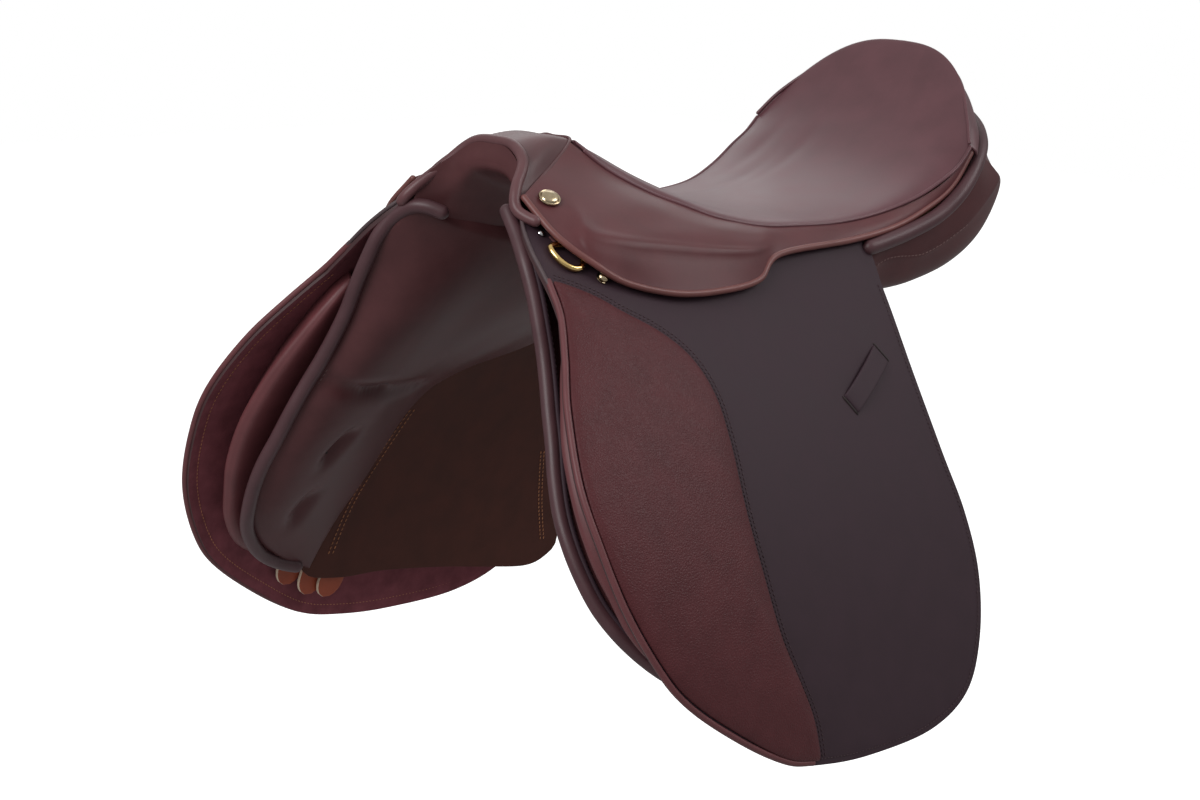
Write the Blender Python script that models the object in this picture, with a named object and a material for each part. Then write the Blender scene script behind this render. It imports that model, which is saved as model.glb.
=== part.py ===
"""Cross-country saddle, modelled as its separate pieces at real size.

Frame: +X is the near (left) side, -Y is the pommel, +Y is the cantle and +Z is up.
The origin lies in the centre plane on the roof of the channel, below the deepest seat.
Sizes below are in millimetres and are turned into metres when a mesh is made.
"""
import math

import bmesh
import bpy
import numpy as np
from mathutils import Vector

MM = 0.001
SIDES = (("left", 1.0), ("right", -1.0))

# Driving sizes
LEATHER = 3.0            # skirt, sweat flap and covers
FLAP_LEATHER = 4.5       # the flap is two leathers glued together
LINING = 1.8             # channel lining
GAP = 0.4                # clearance between touching pieces
FOAM_DEPTH = 13.0        # thickness of the seat foam in the middle
ROLL_RADIUS = 5.5        # rolled front edge of the panel
PIPING_RADIUS = 4.2      # piping of the pommel arch
BILLET_WIDTH = 25.0
BILLET_THICK = 3.0
HINGE_T = 38.0           # line down the flap where it bends when it is lifted
TREE_WIDTH = 26.0
TREE_THICK = 8.0

# Side sheet: the surface that the flap follows. s runs back, t down, d in to the horse
SHEET_FRONT = -250.0
SHEET_REAR = 120.0
SHEET_TOP_FRONT = (103.0, 24.0)
SHEET_TOP_REAR = (110.0, 26.0)
SHEET_SLOPE_TOP = (47.0, 35.0)       # degrees from upright, front and rear
SHEET_SLOPE_LOW = (10.0, 14.0)
SHEET_DROP = 350.0                   # t at which the low slope is reached
SHEET_BOW = 1.0                      # the sheet bows in at both ends
SHEET_BOW_MIDDLE = -70.0

# Depths of the layers behind the flap's outer face
WEB_DEPTH = 7.6
BILLET_DEPTH = 9.2
BILLET_STEP = 4.3
POINT_DEPTH = 13.0
SWEAT_DEPTH = 22.0
PAD_DEPTH = 28.0


def clear_scene():
    for item in list(bpy.data.objects):
        bpy.data.objects.remove(item, do_unlink=True)


def sheet(s, t, d=0.0):
    """Point on the near side sheet."""
    w = (s - SHEET_FRONT) / (SHEET_REAR - SHEET_FRONT)
    x = SHEET_TOP_FRONT[0] + (SHEET_TOP_REAR[0] - SHEET_TOP_FRONT[0]) * w
    z = SHEET_TOP_FRONT[1] + (SHEET_TOP_REAR[1] - SHEET_TOP_FRONT[1]) * w
    x -= SHEET_BOW * ((s - SHEET_BOW_MIDDLE) / 100.0) ** 2
    top = math.radians(SHEET_SLOPE_TOP[0] + (SHEET_SLOPE_TOP[1] - SHEET_SLOPE_TOP[0]) * w)
    low = math.radians(SHEET_SLOPE_LOW[0] + (SHEET_SLOPE_LOW[1] - SHEET_SLOPE_LOW[0]) * w)
    bend = (low - top) / SHEET_DROP
    here = top + bend * t
    x += (math.cos(top) - math.cos(here)) / bend
    z -= (math.sin(here) - math.sin(top)) / bend
    return (x - math.cos(here) * d, s, z - math.sin(here) * d)


def spline(points, count, closed=False):
    """Evenly numbered points on a smooth curve through the given ones."""
    p = np.asarray(points, float)
    if closed:
        p = np.vstack([p[-1:], p, p[:2]])
    else:
        p = np.vstack([2 * p[0] - p[1], p, 2 * p[-1] - p[-2]])
    spans = len(p) - 3
    out = []
    for u in np.linspace(0, spans, count, endpoint=not closed):
        i = min(int(u), spans - 1)
        t = u - i
        a, b, c, e = p[i:i + 4]
        out.append(0.5 * (2 * b + (c - a) * t + (2 * a - 5 * b + 4 * c - e) * t ** 2
                          + (3 * b - a - 3 * c + e) * t ** 3))
    return np.array(out)


def net(rows, along, across):
    """A smooth grid through a coarse net of points."""
    fine = [spline(row, across) for row in rows]
    columns = [spline([row[j] for row in fine], along) for j in range(across)]
    return np.stack(columns, axis=1)


def normals(grid):
    """Unit normals of a grid of points."""
    along = np.gradient(grid, axis=0)
    across = np.gradient(grid, axis=1)
    n = np.cross(along, across)
    length = np.linalg.norm(n, axis=2, keepdims=True)
    return n / np.maximum(length, 1e-9)


# Materials

def leather(name, colour, roughness):
    return principled(name, colour, roughness, 0.0)


def principled(name, colour, roughness, metallic):
    material = bpy.data.materials.new(name)
    material.use_nodes = True
    shader = material.node_tree.nodes["Principled BSDF"]
    shader.inputs["Base Color"].default_value = (*colour, 1.0)
    shader.inputs["Roughness"].default_value = roughness
    shader.inputs["Metallic"].default_value = metallic
    return material


# Making solids

def add_object(name, mesh_builder, material, origin=(0, 0, 0), smooth=35.0):
    """Object from a bmesh in millimetres, with its origin at the given point."""
    mesh_builder.normal_update()
    bmesh.ops.recalc_face_normals(mesh_builder, faces=mesh_builder.faces)
    place = Vector(origin)
    for vertex in mesh_builder.verts:
        vertex.co = (vertex.co - place) * MM
    mesh = bpy.data.meshes.new(name)
    mesh_builder.to_mesh(mesh)
    mesh_builder.free()
    mesh.shade_smooth()
    mesh.set_sharp_from_angle(angle=math.radians(smooth))
    mesh.materials.append(material)
    item = bpy.data.objects.new(name, mesh)
    item.location = place * MM
    bpy.context.scene.collection.objects.link(item)
    return item


def grid_faces(builder, grid, side):
    """Quads over a grid, returned with its vertices; side -1 mirrors it to the off side."""
    rows, columns = grid.shape[:2]
    verts = [[builder.verts.new((side * p[0], p[1], p[2])) for p in row] for row in grid]
    for i in range(rows - 1):
        for j in range(columns - 1):
            builder.faces.new((verts[i][j], verts[i][j + 1], verts[i + 1][j + 1], verts[i + 1][j]))
    return verts


def rim(verts):
    """Border loop of a grid of vertices."""
    return (verts[0][:-1] + [row[-1] for row in verts[:-1]]
            + verts[-1][:0:-1] + [row[0] for row in verts[:0:-1]])


def shell(name, outer, inner, side, material, origin=(0, 0, 0)):
    """Closed solid between two grids that have the same number of points."""
    builder = bmesh.new()
    a = rim(grid_faces(builder, outer, side))
    b = rim(grid_faces(builder, inner, side))
    for i in range(len(a)):
        k = (i + 1) % len(a)
        builder.faces.new((a[i], a[k], b[k], b[i]))
    return add_object(name, builder, material, origin)


def thick_grid(grid, thickness):
    """The grid moved along its normals."""
    return grid + normals(grid) * thickness


def outline(smooth, straight, count):
    """Closed outline of (s, t) points: a smooth run, then a straight run back to its start."""
    run = [tuple(p) for p in spline(smooth, count)]
    a, b = run[-1], run[0]
    return run + [(a[0] + (b[0] - a[0]) * k / (straight + 1), a[1] + (b[1] - a[1]) * k / (straight + 1))
                  for k in range(1, straight + 1)]


def plate(name, edge, centre, depths, side, material, rings=(1.0, 0.72, 0.4), origin=(0, 0, 0), crown=0.0):
    """Leather plate inside an outline of (s, t) points, following the side sheet between two depths.

    crown adds fullness to its first face in the middle.
    """
    builder = bmesh.new()
    layers = []
    edge = np.array(edge, float)
    middle = np.array(centre, float)
    around = len(edge)
    for layer, depth in enumerate(depths):
        loops = []
        for k in rings:
            swell = (1.0 - k ** 4) * crown if layer == 0 else 0.0
            loops.append([builder.verts.new(mirror(sheet(s, t, depth - swell), side))
                          for s, t in middle + (edge - middle) * k])
        hub = builder.verts.new(mirror(sheet(centre[0], centre[1],
                                             depth - (crown if layer == 0 else 0.0)), side))
        for a, b in zip(loops, loops[1:]):
            join_loops(builder, a, b)
        for i in range(around):
            builder.faces.new((loops[-1][i], loops[-1][(i + 1) % around], hub))
        layers.append(loops[0])
    join_loops(builder, layers[0], layers[1])
    return add_object(name, builder, material, origin)


def loft(name, sections, side, material, origin=(0, 0, 0)):
    """Solid through closed sections that have the same number of points, with flat ends."""
    builder = bmesh.new()
    loops = [[builder.verts.new(mirror(p, side)) for p in section] for section in sections]
    for a, b in zip(loops, loops[1:]):
        join_loops(builder, a, b)
    builder.faces.new(loops[0][::-1])
    builder.faces.new(loops[-1])
    return add_object(name, builder, material, origin)


def strip(name, pairs, depths, side, material, across=4):
    """Leather between two edges given as pairs of (s, t) points, following the side sheet."""
    grids = []
    for depth in depths:
        rows = []
        for (s0, t0), (s1, t1) in pairs:
            rows.append([sheet(s0 + (s1 - s0) * k, t0 + (t1 - t0) * k, depth) for k in np.linspace(0, 1, across)])
        grids.append(np.array(rows, float))
    return shell(name, grids[0], grids[1], side, material)


def join_loops(builder, a, b):
    for i in range(len(a)):
        k = (i + 1) % len(a)
        builder.faces.new((a[i], a[k], b[k], b[i]))


def mirror(point, side):
    return (side * point[0], point[1], point[2])


def bar(name, path, ups, width, thickness, material, side=1.0, closed=False, origin=(0, 0, 0),
        count=20):
    """Flat bar swept along a smooth path, its flat side facing up."""
    line = spline(path, count, closed)
    up = spline(ups, count, closed)
    ahead = np.roll(line, -1, axis=0) - np.roll(line, 1, axis=0)
    if not closed:
        ahead[0] = line[1] - line[0]
        ahead[-1] = line[-1] - line[-2]
    builder = bmesh.new()
    loops = []
    for p, u, a in zip(line, up, ahead):
        a = a / np.linalg.norm(a)
        across = np.cross(a, u)
        across /= np.linalg.norm(across)
        u = np.cross(across, a)
        w = across * width / 2
        h = u * thickness / 2
        loops.append([builder.verts.new(mirror(q, side)) for q in (p - w - h, p + w - h, p + w + h, p - w + h)])
    for a, b in zip(loops, loops[1:]):
        join_loops(builder, a, b)
    if closed:
        join_loops(builder, loops[-1], loops[0])
    else:
        builder.faces.new(loops[0])
        builder.faces.new(loops[-1][::-1])
    return add_object(name, builder, material, origin)


def tube(name, path, radius, material, side=1.0, closed=False, origin=(0, 0, 0), count=24,
         sides=8, smooth=True):
    """Round rod or rolled edge swept along a path."""
    line = spline(path, count, closed) if smooth else np.asarray(path, float)
    curve = bpy.data.curves.new(name, "CURVE")
    curve.dimensions = "3D"
    curve.bevel_depth = radius * MM
    curve.bevel_resolution = max(0, sides // 2 - 2)
    curve.use_fill_caps = not closed
    part = curve.splines.new("POLY")
    part.points.add(len(line) - 1)
    place = np.array(origin, float)
    for point, p in zip(part.points, line):
        q = (np.array(mirror(p, side)) - place) * MM
        point.co = (*q, 1.0)
    part.use_cyclic_u = closed
    curve.materials.append(material)
    item = bpy.data.objects.new(name, curve)
    item.location = place * MM
    bpy.context.scene.collection.objects.link(item)
    return item


def turned(name, profile, centre, axis, material, segments=16, origin=None):
    """Turned piece: profile of (radius, height) points spun about an axis."""
    turn = Vector(axis).normalized().to_track_quat("Z", "Y")
    builder = bmesh.new()
    loops = []
    for radius, height in profile:
        ring = []
        for k in range(segments):
            a = 2 * math.pi * k / segments
            ring.append(turn @ Vector((radius * math.cos(a), radius * math.sin(a), height))
                        + Vector(centre))
        loops.append([builder.verts.new(q) for q in ring])
    for a, b in zip(loops, loops[1:]):
        join_loops(builder, a, b)
    builder.faces.new(loops[0][::-1])
    builder.faces.new(loops[-1])
    return add_object(name, builder, material, origin or (0, 0, 0))


# Shapes of the seat and skirts, near side: stations from the pommel to the cantle

SEAT_WELT = [(20, -149, 102), (38, -129, 82), (55, -102, 66), (70, -81, 57), (82, -57, 48),
             (92, -20, 41), (95, 20, 39), (98, 60, 39), (101, 103, 44), (108, 139, 55),
             (113, 168, 70), (113, 184, 80), (112, 196, 92)]
SEAT_CENTRE = [(0, -149, 104), (0, -122, 94), (0, -95, 80), (0, -72, 69), (0, -48, 59),
               (0, -10, 48), (0, 30, 43), (0, 72, 44), (0, 115, 53), (0, 155, 71),
               (0, 188, 98), (0, 214, 128), (0, 238, 163)]
SEAT_ROUND_FRONT = 2.0    # power of the cross curve at the pommel
SEAT_ROUND_REAR = 2.7     # and at the cantle's rim
SEAT_FULLNESS = 9.0       # swell beside the welt

# each row: welt, upper skirt, ridge, lower edge
SKIRT = [((20, -149, 102), (30, -174, 92), (44, -203, 82), (58, -233, 71)),
         ((38, -129, 82), (56, -158, 75), (76, -198, 62), (89, -228, 46)),
         ((55, -102, 66), (79, -140, 62), (98, -205, 48), (111, -210, 27)),
         ((70, -81, 57), (92, -118, 52), (111, -178, 41), (121, -186, 13)),
         ((82, -57, 48), (101, -92, 45), (116, -140, 36), (131, -145, 4)),
         ((88, -38, 44), (106, -66, 40), (119, -100, 31), (133, -100, 3)),
         ((92, -20, 41), (108, -36, 36), (121, -56, 28), (129, -58, 7)),
         ((94, 5, 39.5), (103, -4, 35), (111, -14, 29), (118, -25, 22)),
         ((98, 60, 39), (104, 60, 35.5), (109, 60, 31), (113, 60, 26)),
         ((101, 103, 44), (106, 105, 40.5), (110, 107, 37), (112, 109, 32)),
         ((108, 139, 55), (111, 140, 51), (114, 141, 47), (114, 142, 42)),
         ((113, 168, 70), (116, 170, 66), (117, 171, 62), (116, 173, 58)),
         ((114, 193, 88), (116, 195, 85), (117, 197, 82), (116, 198, 79))]
SKIRT_GAP = 2.8          # between the seat's edge and the skirt, under the welt
RIDGE = 2.0 / 3.0
LOBE_START = 3.0
LOBE_END = 6.4


def spline_at(points, places):
    """Catmull-Rom curve read at places counted in points."""
    p = np.asarray(points, float)
    p = np.vstack([2 * p[0] - p[1], p, 2 * p[-1] - p[-2]])
    spans = len(p) - 3
    out = []
    for u in places:
        i = min(max(int(math.floor(u)), 0), spans - 1)
        t = u - i
        a, b, c, e = p[i:i + 4]
        out.append(0.5 * (2 * b + (c - a) * t + (2 * a - 5 * b + 4 * c - e) * t ** 2
                          + (3 * b - a - 3 * c + e) * t ** 3))
    return np.array(out)


def seat_grid(stations, widths):
    """Seat surface at stations along it and at widths from -1 to 1 across it."""
    welt = spline_at(SEAT_WELT, stations)
    centre = spline_at(SEAT_CENTRE, stations)
    last = len(SEAT_WELT) - 1
    rows = []
    for station, w, c in zip(stations, welt, centre):
        k = min(max(station / last, 0.0), 1.0)
        power = SEAT_ROUND_FRONT + (SEAT_ROUND_REAR - SEAT_ROUND_FRONT) * k ** 2
        row = []
        for u in widths:
            a = min(abs(u), 1.0) ** power
            swell = SEAT_FULLNESS * u ** 6 * (1 - u ** 8) * (1 - 0.6 * k)
            row.append((w[0] * u, c[1] + (w[1] - c[1]) * a, w[2] + (c[2] - w[2]) * (1 - a) + swell))
        rows.append(row)
    return np.array(rows)


def skirt_grid(stations, heights):
    """Skirt surface at stations along it and at heights from 0, near the welt, to 1, the lower edge."""
    columns = np.array([spline_at([row[j] for row in SKIRT], stations) for j in range(4)])
    grid = []
    for i in range(len(stations)):
        first = min(SKIRT_GAP / np.linalg.norm(columns[1, i] - columns[0, i]), 0.8)
        grid.append(spline_at(columns[:, i], [max(k * 3.0, first) for k in heights]))
    return np.array(grid)


def cells_shell(name, outer, inner, keep, side, material, origin=(0, 0, 0)):
    """Closed solid between two grids, made only of the cells that are kept."""
    builder = bmesh.new()
    rows, columns = outer.shape[:2]
    layers = []
    for grid in (outer, inner):
        verts = {}
        used = {}
        for i in range(rows - 1):
            for j in range(columns - 1):
                if not keep(i, j):
                    continue
                corners = [(i, j), (i, j + 1), (i + 1, j + 1), (i + 1, j)]
                for key in corners:
                    if key not in verts:
                        verts[key] = builder.verts.new(mirror(grid[key], side))
                builder.faces.new([verts[key] for key in corners])
                for a, b in zip(corners, corners[1:] + corners[:1]):
                    pair = (min(a, b), max(a, b))
                    used[pair] = used.get(pair, 0) + 1
        layers.append((verts, used))
    (top, used), (low, _) = layers
    for (a, b), times in used.items():
        if times == 1:
            builder.faces.new((top[a], top[b], low[b], low[a]))
    return add_object(name, builder, material, origin)


def build_seat(mats):
    stations = np.linspace(0.12, 12.0, 23)
    widths = np.array([-1, -0.93, -0.8, -0.6, -0.35, 0, 0.35, 0.6, 0.8, 0.93, 1])
    skin = seat_grid(stations, widths)
    shell("seat_cover", skin, thick_grid(skin, 2.6), 1.0, mats["seat"])

    stations = np.linspace(0.9, 11.5, 16)
    widths = np.linspace(-0.88, 0.88, 9)
    skin = seat_grid(stations, widths)
    inward = normals(skin)
    ends = 1 - np.abs(np.linspace(-1, 1, len(stations))) ** 6 * 0.6
    sides = 1 - np.abs(np.linspace(-1, 1, len(widths))) ** 4 * 0.6
    depth = FOAM_DEPTH * ends[:, None, None] * sides[None, :, None]
    shell("seat_foam", skin + inward * 3.8, skin + inward * (3.8 + depth), 1.0, mats["foam"])


def lobe_axis():
    """Ends of the line on which the skirt's lobe lifts, near side."""
    ends = skirt_grid([LOBE_START + 0.1, LOBE_END - 0.1], [RIDGE])
    lift = np.array((4.0, 0.0, 1.5))
    return ends[0, 0] + lift, ends[1, 0] + lift


def build_skirt(label, side, mats):
    front, rear = lobe_axis()
    stations = np.concatenate([np.linspace(0, LOBE_START, 5), np.linspace(LOBE_START, LOBE_END, 9)[1:],
                               np.linspace(LOBE_END, 12.0, 10)[1:]])
    heights = np.array([0.0, 0.3, RIDGE, 0.84, 1.0])
    skin = skirt_grid(stations, heights)
    inside = thick_grid(skin, LEATHER)
    start, end, ridge = 4, 12, 2
    cells_shell("skirt_" + label, skin, inside,
                lambda i, j: not (start <= i < end and j >= ridge), side, mats["skirt"])
    stations = np.linspace(LOBE_START + 0.09, LOBE_END - 0.14, 9)
    heights = np.array([RIDGE + 0.035, 0.83, 1.0])
    skin = skirt_grid(stations, heights)
    shell("skirt_lobe_" + label, skin, thick_grid(skin, LEATHER), side, mats["skirt"],
          origin=mirror((front + rear) / 2, side))


# Pommel: cover, piping of the arch, nails

ARCH = [(0, -222, 105), (20, -222, 104), (38, -225, 92), (50, -230, 77), (56, -236, 63)]
POMMEL = [((0, -219, 106), (0, -185, 110), (0, -151, 104.5)),
          ((18, -219, 105), (18, -184, 109), (16, -151, 103.5)),
          ((35, -221, 94), (33, -198, 97), (29, -177, 92.5)),
          ((46, -227, 81), (45, -216, 82), (43, -206, 82)),
          ((52, -234.5, 67.5), (52.5, -234, 68.5), (53.5, -233, 69.5))]


def mirrored_rows(rows):
    """Net rows from the off side over the centre to the near side."""
    off = [[(-x, y, z) for x, y, z in row] for row in rows[:0:-1]]
    return off + [list(row) for row in rows]


def build_pommel(mats):
    grid = net(mirrored_rows(POMMEL), 17, 5)
    shell("pommel_cover", grid, thick_grid(grid, -LEATHER * 0.8), 1.0, mats["pommel"])
    whole = [(-x, y, z) for x, y, z in ARCH[:0:-1]] + ARCH
    path = spline(whole, 21) + np.array((0, -5.0, 0))
    tube("arch_piping", path, PIPING_RADIUS, mats["pommel"], smooth=False)


def skirt_seat(station, height):
    """A point on the skirt and its outward direction, near side."""
    near = skirt_grid([station - 0.1, station, station + 0.1], [height - 0.05, height, height + 0.05])
    return near[1, 1], -normals(near)[1, 1]


def build_nail(label, side, mats):
    place, out = skirt_seat(0.42, 0.80)
    base = place + out * 0.8
    dome = [(7.6, 0.0), (7.8, 0.8), (6.9, 2.1), (4.6, 3.2), (1.6, 3.7)]
    turned("saddle_nail_" + label, dome, mirror(base, side), mirror(out, side), mats["brass"])


# Tree and what is riveted to it

TREE_PATH = [(0, -197, 90), (24, -196, 86), (40, -191, 75), (51, -178, 60), (60, -148, 43),
             (70, -105, 32), (78, -50, 22), (82, 0, 16.5), (83, 60, 17), (84, 110, 22),
             (87, 150, 34), (86, 180, 53), (78, 203, 78), (60, 221, 100), (34, 232, 115), (0, 236, 120)]
TREE_UP = [(0, -0.2, 1), (0.25, -0.1, 1), (0.7, 0, 0.8), (0.75, 0, 0.75), (0.6, 0, 0.85),
           (0.45, 0, 0.9), (0.35, 0, 0.95), (0.25, 0, 1), (0.2, 0, 1), (0.2, 0, 1),
           (0.2, -0.2, 1), (0.15, -0.5, 0.85), (0.1, -0.75, 0.65), (0.05, -0.8, 0.6),
           (0, -0.8, 0.6), (0, -0.8, 0.6)]


def build_tree(mats):
    path = TREE_PATH + [(-x, y, z) for x, y, z in TREE_PATH[-2:0:-1]]
    ups = TREE_UP + [(-x, y, z) for x, y, z in TREE_UP[-2:0:-1]]
    bar("tree", path, ups, TREE_WIDTH, TREE_THICK, mats["wood"], closed=True, count=48)
    head = [(-36.5, -187, 69.5), (-23, -191, 79), (0, -192, 83), (23, -191, 79), (36.5, -187, 69.5)]
    bar("head_plate", head, [(-0.7, 0, 0.75), (-0.3, 0, 1), (0, 0, 1), (0.3, 0, 1), (0.7, 0, 0.75)],
        16.0, 1.8, mats["steel"], count=11)
    span = [(-63, -114, 49.5), (-40, -114, 50.5), (0, -114, 51), (40, -114, 50.5), (63, -114, 49.5)]
    bar("web_front", span, [(0, 0.25, 1)] * 5, 34.0, 1.4, mats["web"], count=7)


def build_spring(label, side, mats):
    path = [(34, -172, 62), (35, -150, 53), (37, -100, 38), (40, -40, 21), (42, 30, 13),
            (42, 100, 17), (40, 150, 33), (36, 188, 60), (32, 208, 84)]
    ups = [(0, 0.3, 1)] * 3 + [(0, 0.15, 1)] + [(0, 0, 1)] * 2 + [(0, -0.4, 1), (0, -0.8, 1), (0, -1, 0.8)]
    bar("tree_spring_" + label, path, ups, 16.0, 1.6, mats["steel"], side, count=13)


def build_point(label, side, mats):
    path = [sheet(-200, t, POINT_DEPTH + 2) for t in (-34, -15, 10, 35, 60)]
    ups = [np.subtract(sheet(-200, t, -1), sheet(-200, t, 0)) for t in (-34, -15, 10, 35, 60)]
    bar("tree_point_" + label, path, ups, 26.0, 3.4, mats["wood"], side, count=8)
    edge = [(-218, 18), (-218, 46), (-218, 72), (-212, 79), (-200, 81), (-188, 79), (-182, 72), (-182, 46),
            (-182, 18), (-200, 18)]
    plate("point_pocket_" + label, edge, (-200, 50), (POINT_DEPTH + 5.0, POINT_DEPTH + 6.8), side,
          mats["panel"], rings=(1.0, 0.5))


BAR_T = -3.5          # the bar's middle, down the sheet
BAR_OUT = -6.0        # and out from the flap
BAR_REAR = -94.0


def build_stirrup_bar(label, side, mats):
    route = [(BAR_REAR, -19, 5.6), (-130, -19, 5.6), (-166, -19, 5.4), (-178, -18, 3.0), (-183, -14.5, -0.6),
             (-178, -8, -4.4), (-166, -4, BAR_OUT), (-150, BAR_T, BAR_OUT), (-125, BAR_T, BAR_OUT),
             (BAR_REAR, BAR_T, BAR_OUT)]
    path = [sheet(*p) for p in route]
    out = [np.subtract(sheet(s, t, -1), sheet(s, t, 0)) for s, t, _ in route]
    ahead = np.array((0, 1.0, 0))
    turn = [out[0], out[1], out[2], out[3] + ahead, ahead + out[4] * 0.1, ahead * 1.2 - out[5] * 0.9,
            -out[6], -out[7], -out[8], -out[9]]
    bar("stirrup_bar_" + label, path, turn, 9.0, 3.0, mats["steel"], side, count=28)
    for name, s in (("front", -150.0), ("rear", -108.0)):
        base = sheet(s, -19, 3.6)
        axis = np.subtract(sheet(s, -19, 0), sheet(s, -19, 1))
        turned("bar_rivet_" + name + "_" + label, [(3.0, 0), (2.8, 0.9), (1.5, 1.6)],
               mirror(base, side), mirror(axis, side), mats["steel"], segments=8)


CATCH_LENGTH = 14.0
CATCH_GAP = 2.6


def build_catch(label, side, mats):
    pivot = catch_pivot()
    path = [sheet(BAR_REAR + CATCH_GAP + k, BAR_T, BAR_OUT) for k in (0, CATCH_LENGTH * 0.5, CATCH_LENGTH)]
    out = [np.subtract(sheet(-94, BAR_T, -1), sheet(-94, BAR_T, 0))] * 3
    bar("bar_catch_" + label, path, out, 7.0, 2.6, mats["steel"], side, origin=mirror(pivot, side), count=5)


def catch_pivot():
    return sheet(BAR_REAR + CATCH_GAP + 2.4, BAR_T, BAR_OUT)


# D-ring under the front of the skirt

DEE_TOP = (-222.0, -20.0, -2.6)     # s, t, d of its straight bar's middle
DEE_WIDTH = 25.0
DEE_DROP = 22.0
DEE_WIRE = 1.6


def build_dee(label, side, mats):
    s0, t0, d0 = DEE_TOP
    half = DEE_WIDTH / 2
    bend = [(s0 + half * math.cos(a), t0 + 5 + (DEE_DROP - 5) * math.sin(a))
            for a in np.linspace(math.pi, 0, 13)]
    outline = [(s0 - half + 3, t0), (s0 - half + 0.6, t0 + 1.6)] + bend
    outline += [(s0 + half - 0.6, t0 + 1.6), (s0 + half - 3, t0)]
    path = [sheet(s, t, d0) for s, t in outline]
    tube("dee_" + label, path, DEE_WIRE, mats["brass"], side, closed=True,
         origin=mirror(sheet(*DEE_TOP), side), smooth=False)
    out = np.subtract(sheet(s0, t0, -1), sheet(s0, t0, 0))
    down = np.subtract(sheet(s0, t0 + 1, 0), sheet(s0, t0, 0))
    loop = [sheet(s0, t0 + k, d) for k, d in ((-9, -1.2), (-6, -1.6), (-4.0, -2.2), (-3.4, -3.0))]
    bar("dee_chape_" + label, loop, [out, out, out - down * 0.4, out - down], 11.0, 1.0, mats["pommel"], side,
        count=7)
    base = sheet(-203, 11, -GAP)
    axis = np.subtract(sheet(-203, 11, -1), sheet(-203, 11, 0))
    turned("stud_" + label, [(4.0, 0), (4.2, 0.8), (3.0, 2.4), (1.0, 3.0)], mirror(base, side),
           mirror(axis, side), mats["brass"], segments=12)


# Flap and what is sewn to it

FLAP_LOW = [(-257, HINGE_T + 1), (-273, 72), (-292, 112), (-306, 163), (-305, 206), (-295, 255),
            (-272, 300), (-246, 328), (-197, 358), (-155, 378), (-113, 384), (-62, 384), (7, 376),
            (54, 355), (79, 318), (92, 270), (91, 223), (82, 173), (77, 110), (79, HINGE_T + 1)]
# upper and lower edge of the flap's fixed top, from the rear to the front wing
FLAP_TOP = [((84, -4), (80, HINGE_T)), ((20, -4), (22, HINGE_T)), ((-28, -3), (-28, HINGE_T)),
            ((-60, 1), (-60, HINGE_T)), ((-105, 2), (-105, HINGE_T)), ((-150, 2), (-145, HINGE_T)),
            ((-184, 2), (-178, HINGE_T)), ((-198, -8), (-205, HINGE_T)), ((-206, -22), (-229, HINGE_T)),
            ((-213, -37), (-254, HINGE_T)), ((-218, -48), (-250, 19)), ((-223, -52), (-246, 0)),
            ((-227, -48), (-241, -17)), ((-231, -40), (-235, -31))]
KNEE_PAD = [(-252, 43), (-263, 62), (-282, 105), (-296, 160), (-295, 206), (-285, 252), (-263, 298),
            (-239, 322), (-194, 352), (-156, 371), (-126, 377), (-145, 318), (-163, 225), (-156, 165),
            (-149, 111), (-163, 74), (-196, 49)]
# t, front edge on the flap, front edge towards the horse, rear edge and depth of the knee block
KNEE_BLOCK = [(52, -238, -246, -230, 15), (66, -241, -258, -226, 24), (92, -247, -272, -224, 32),
              (130, -254, -283, -224, 36), (175, -261, -289, -225, 37), (215, -260, -286, -225, 36),
              (245, -253, -278, -222, 32), (268, -244, -264, -219, 26), (286, -236, -249, -219, 17)]
SWEAT_FLAP = [(-200, 34), (-206, 150), (-196, 250), (-178, 330), (-165, 338), (-131, 341), (-91, 339),
              (-30, 342), (20, 347), (62, 350), (82, 343), (92, 327), (78, 290), (56, 241), (54, 150),
              (55, 60), (53, 38)]
KEEPER = ((46.0, 93.5), (-8.0, 130.0))


def flap_hinge():
    """Middle of the line on which the flap lifts, near side."""
    front = np.array(sheet(-240, HINGE_T - 1, -8))
    rear = np.array(sheet(70, HINGE_T - 1, -8))
    return (front + rear) / 2


def block_section(t, foot, front, rear, depth):
    """Round cornered cross section of the knee block at t, leaning forward from its foot on the flap."""
    base = FLAP_LEATHER + 1.6
    mid = (base + depth) / 2
    shape = [(foot + 3, base), (foot - 1, base + 2), ((foot + front) / 2 - 2, mid), (front, depth - 6),
             (front + 4, depth - 1), ((front + rear) / 2, depth + 1), (rear - 7, depth - 2),
             (rear - 1, mid + 2), (rear - 1, base + 3), (rear - 3, base)]
    return [sheet(s, t, d) for s, d in shape]


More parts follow.
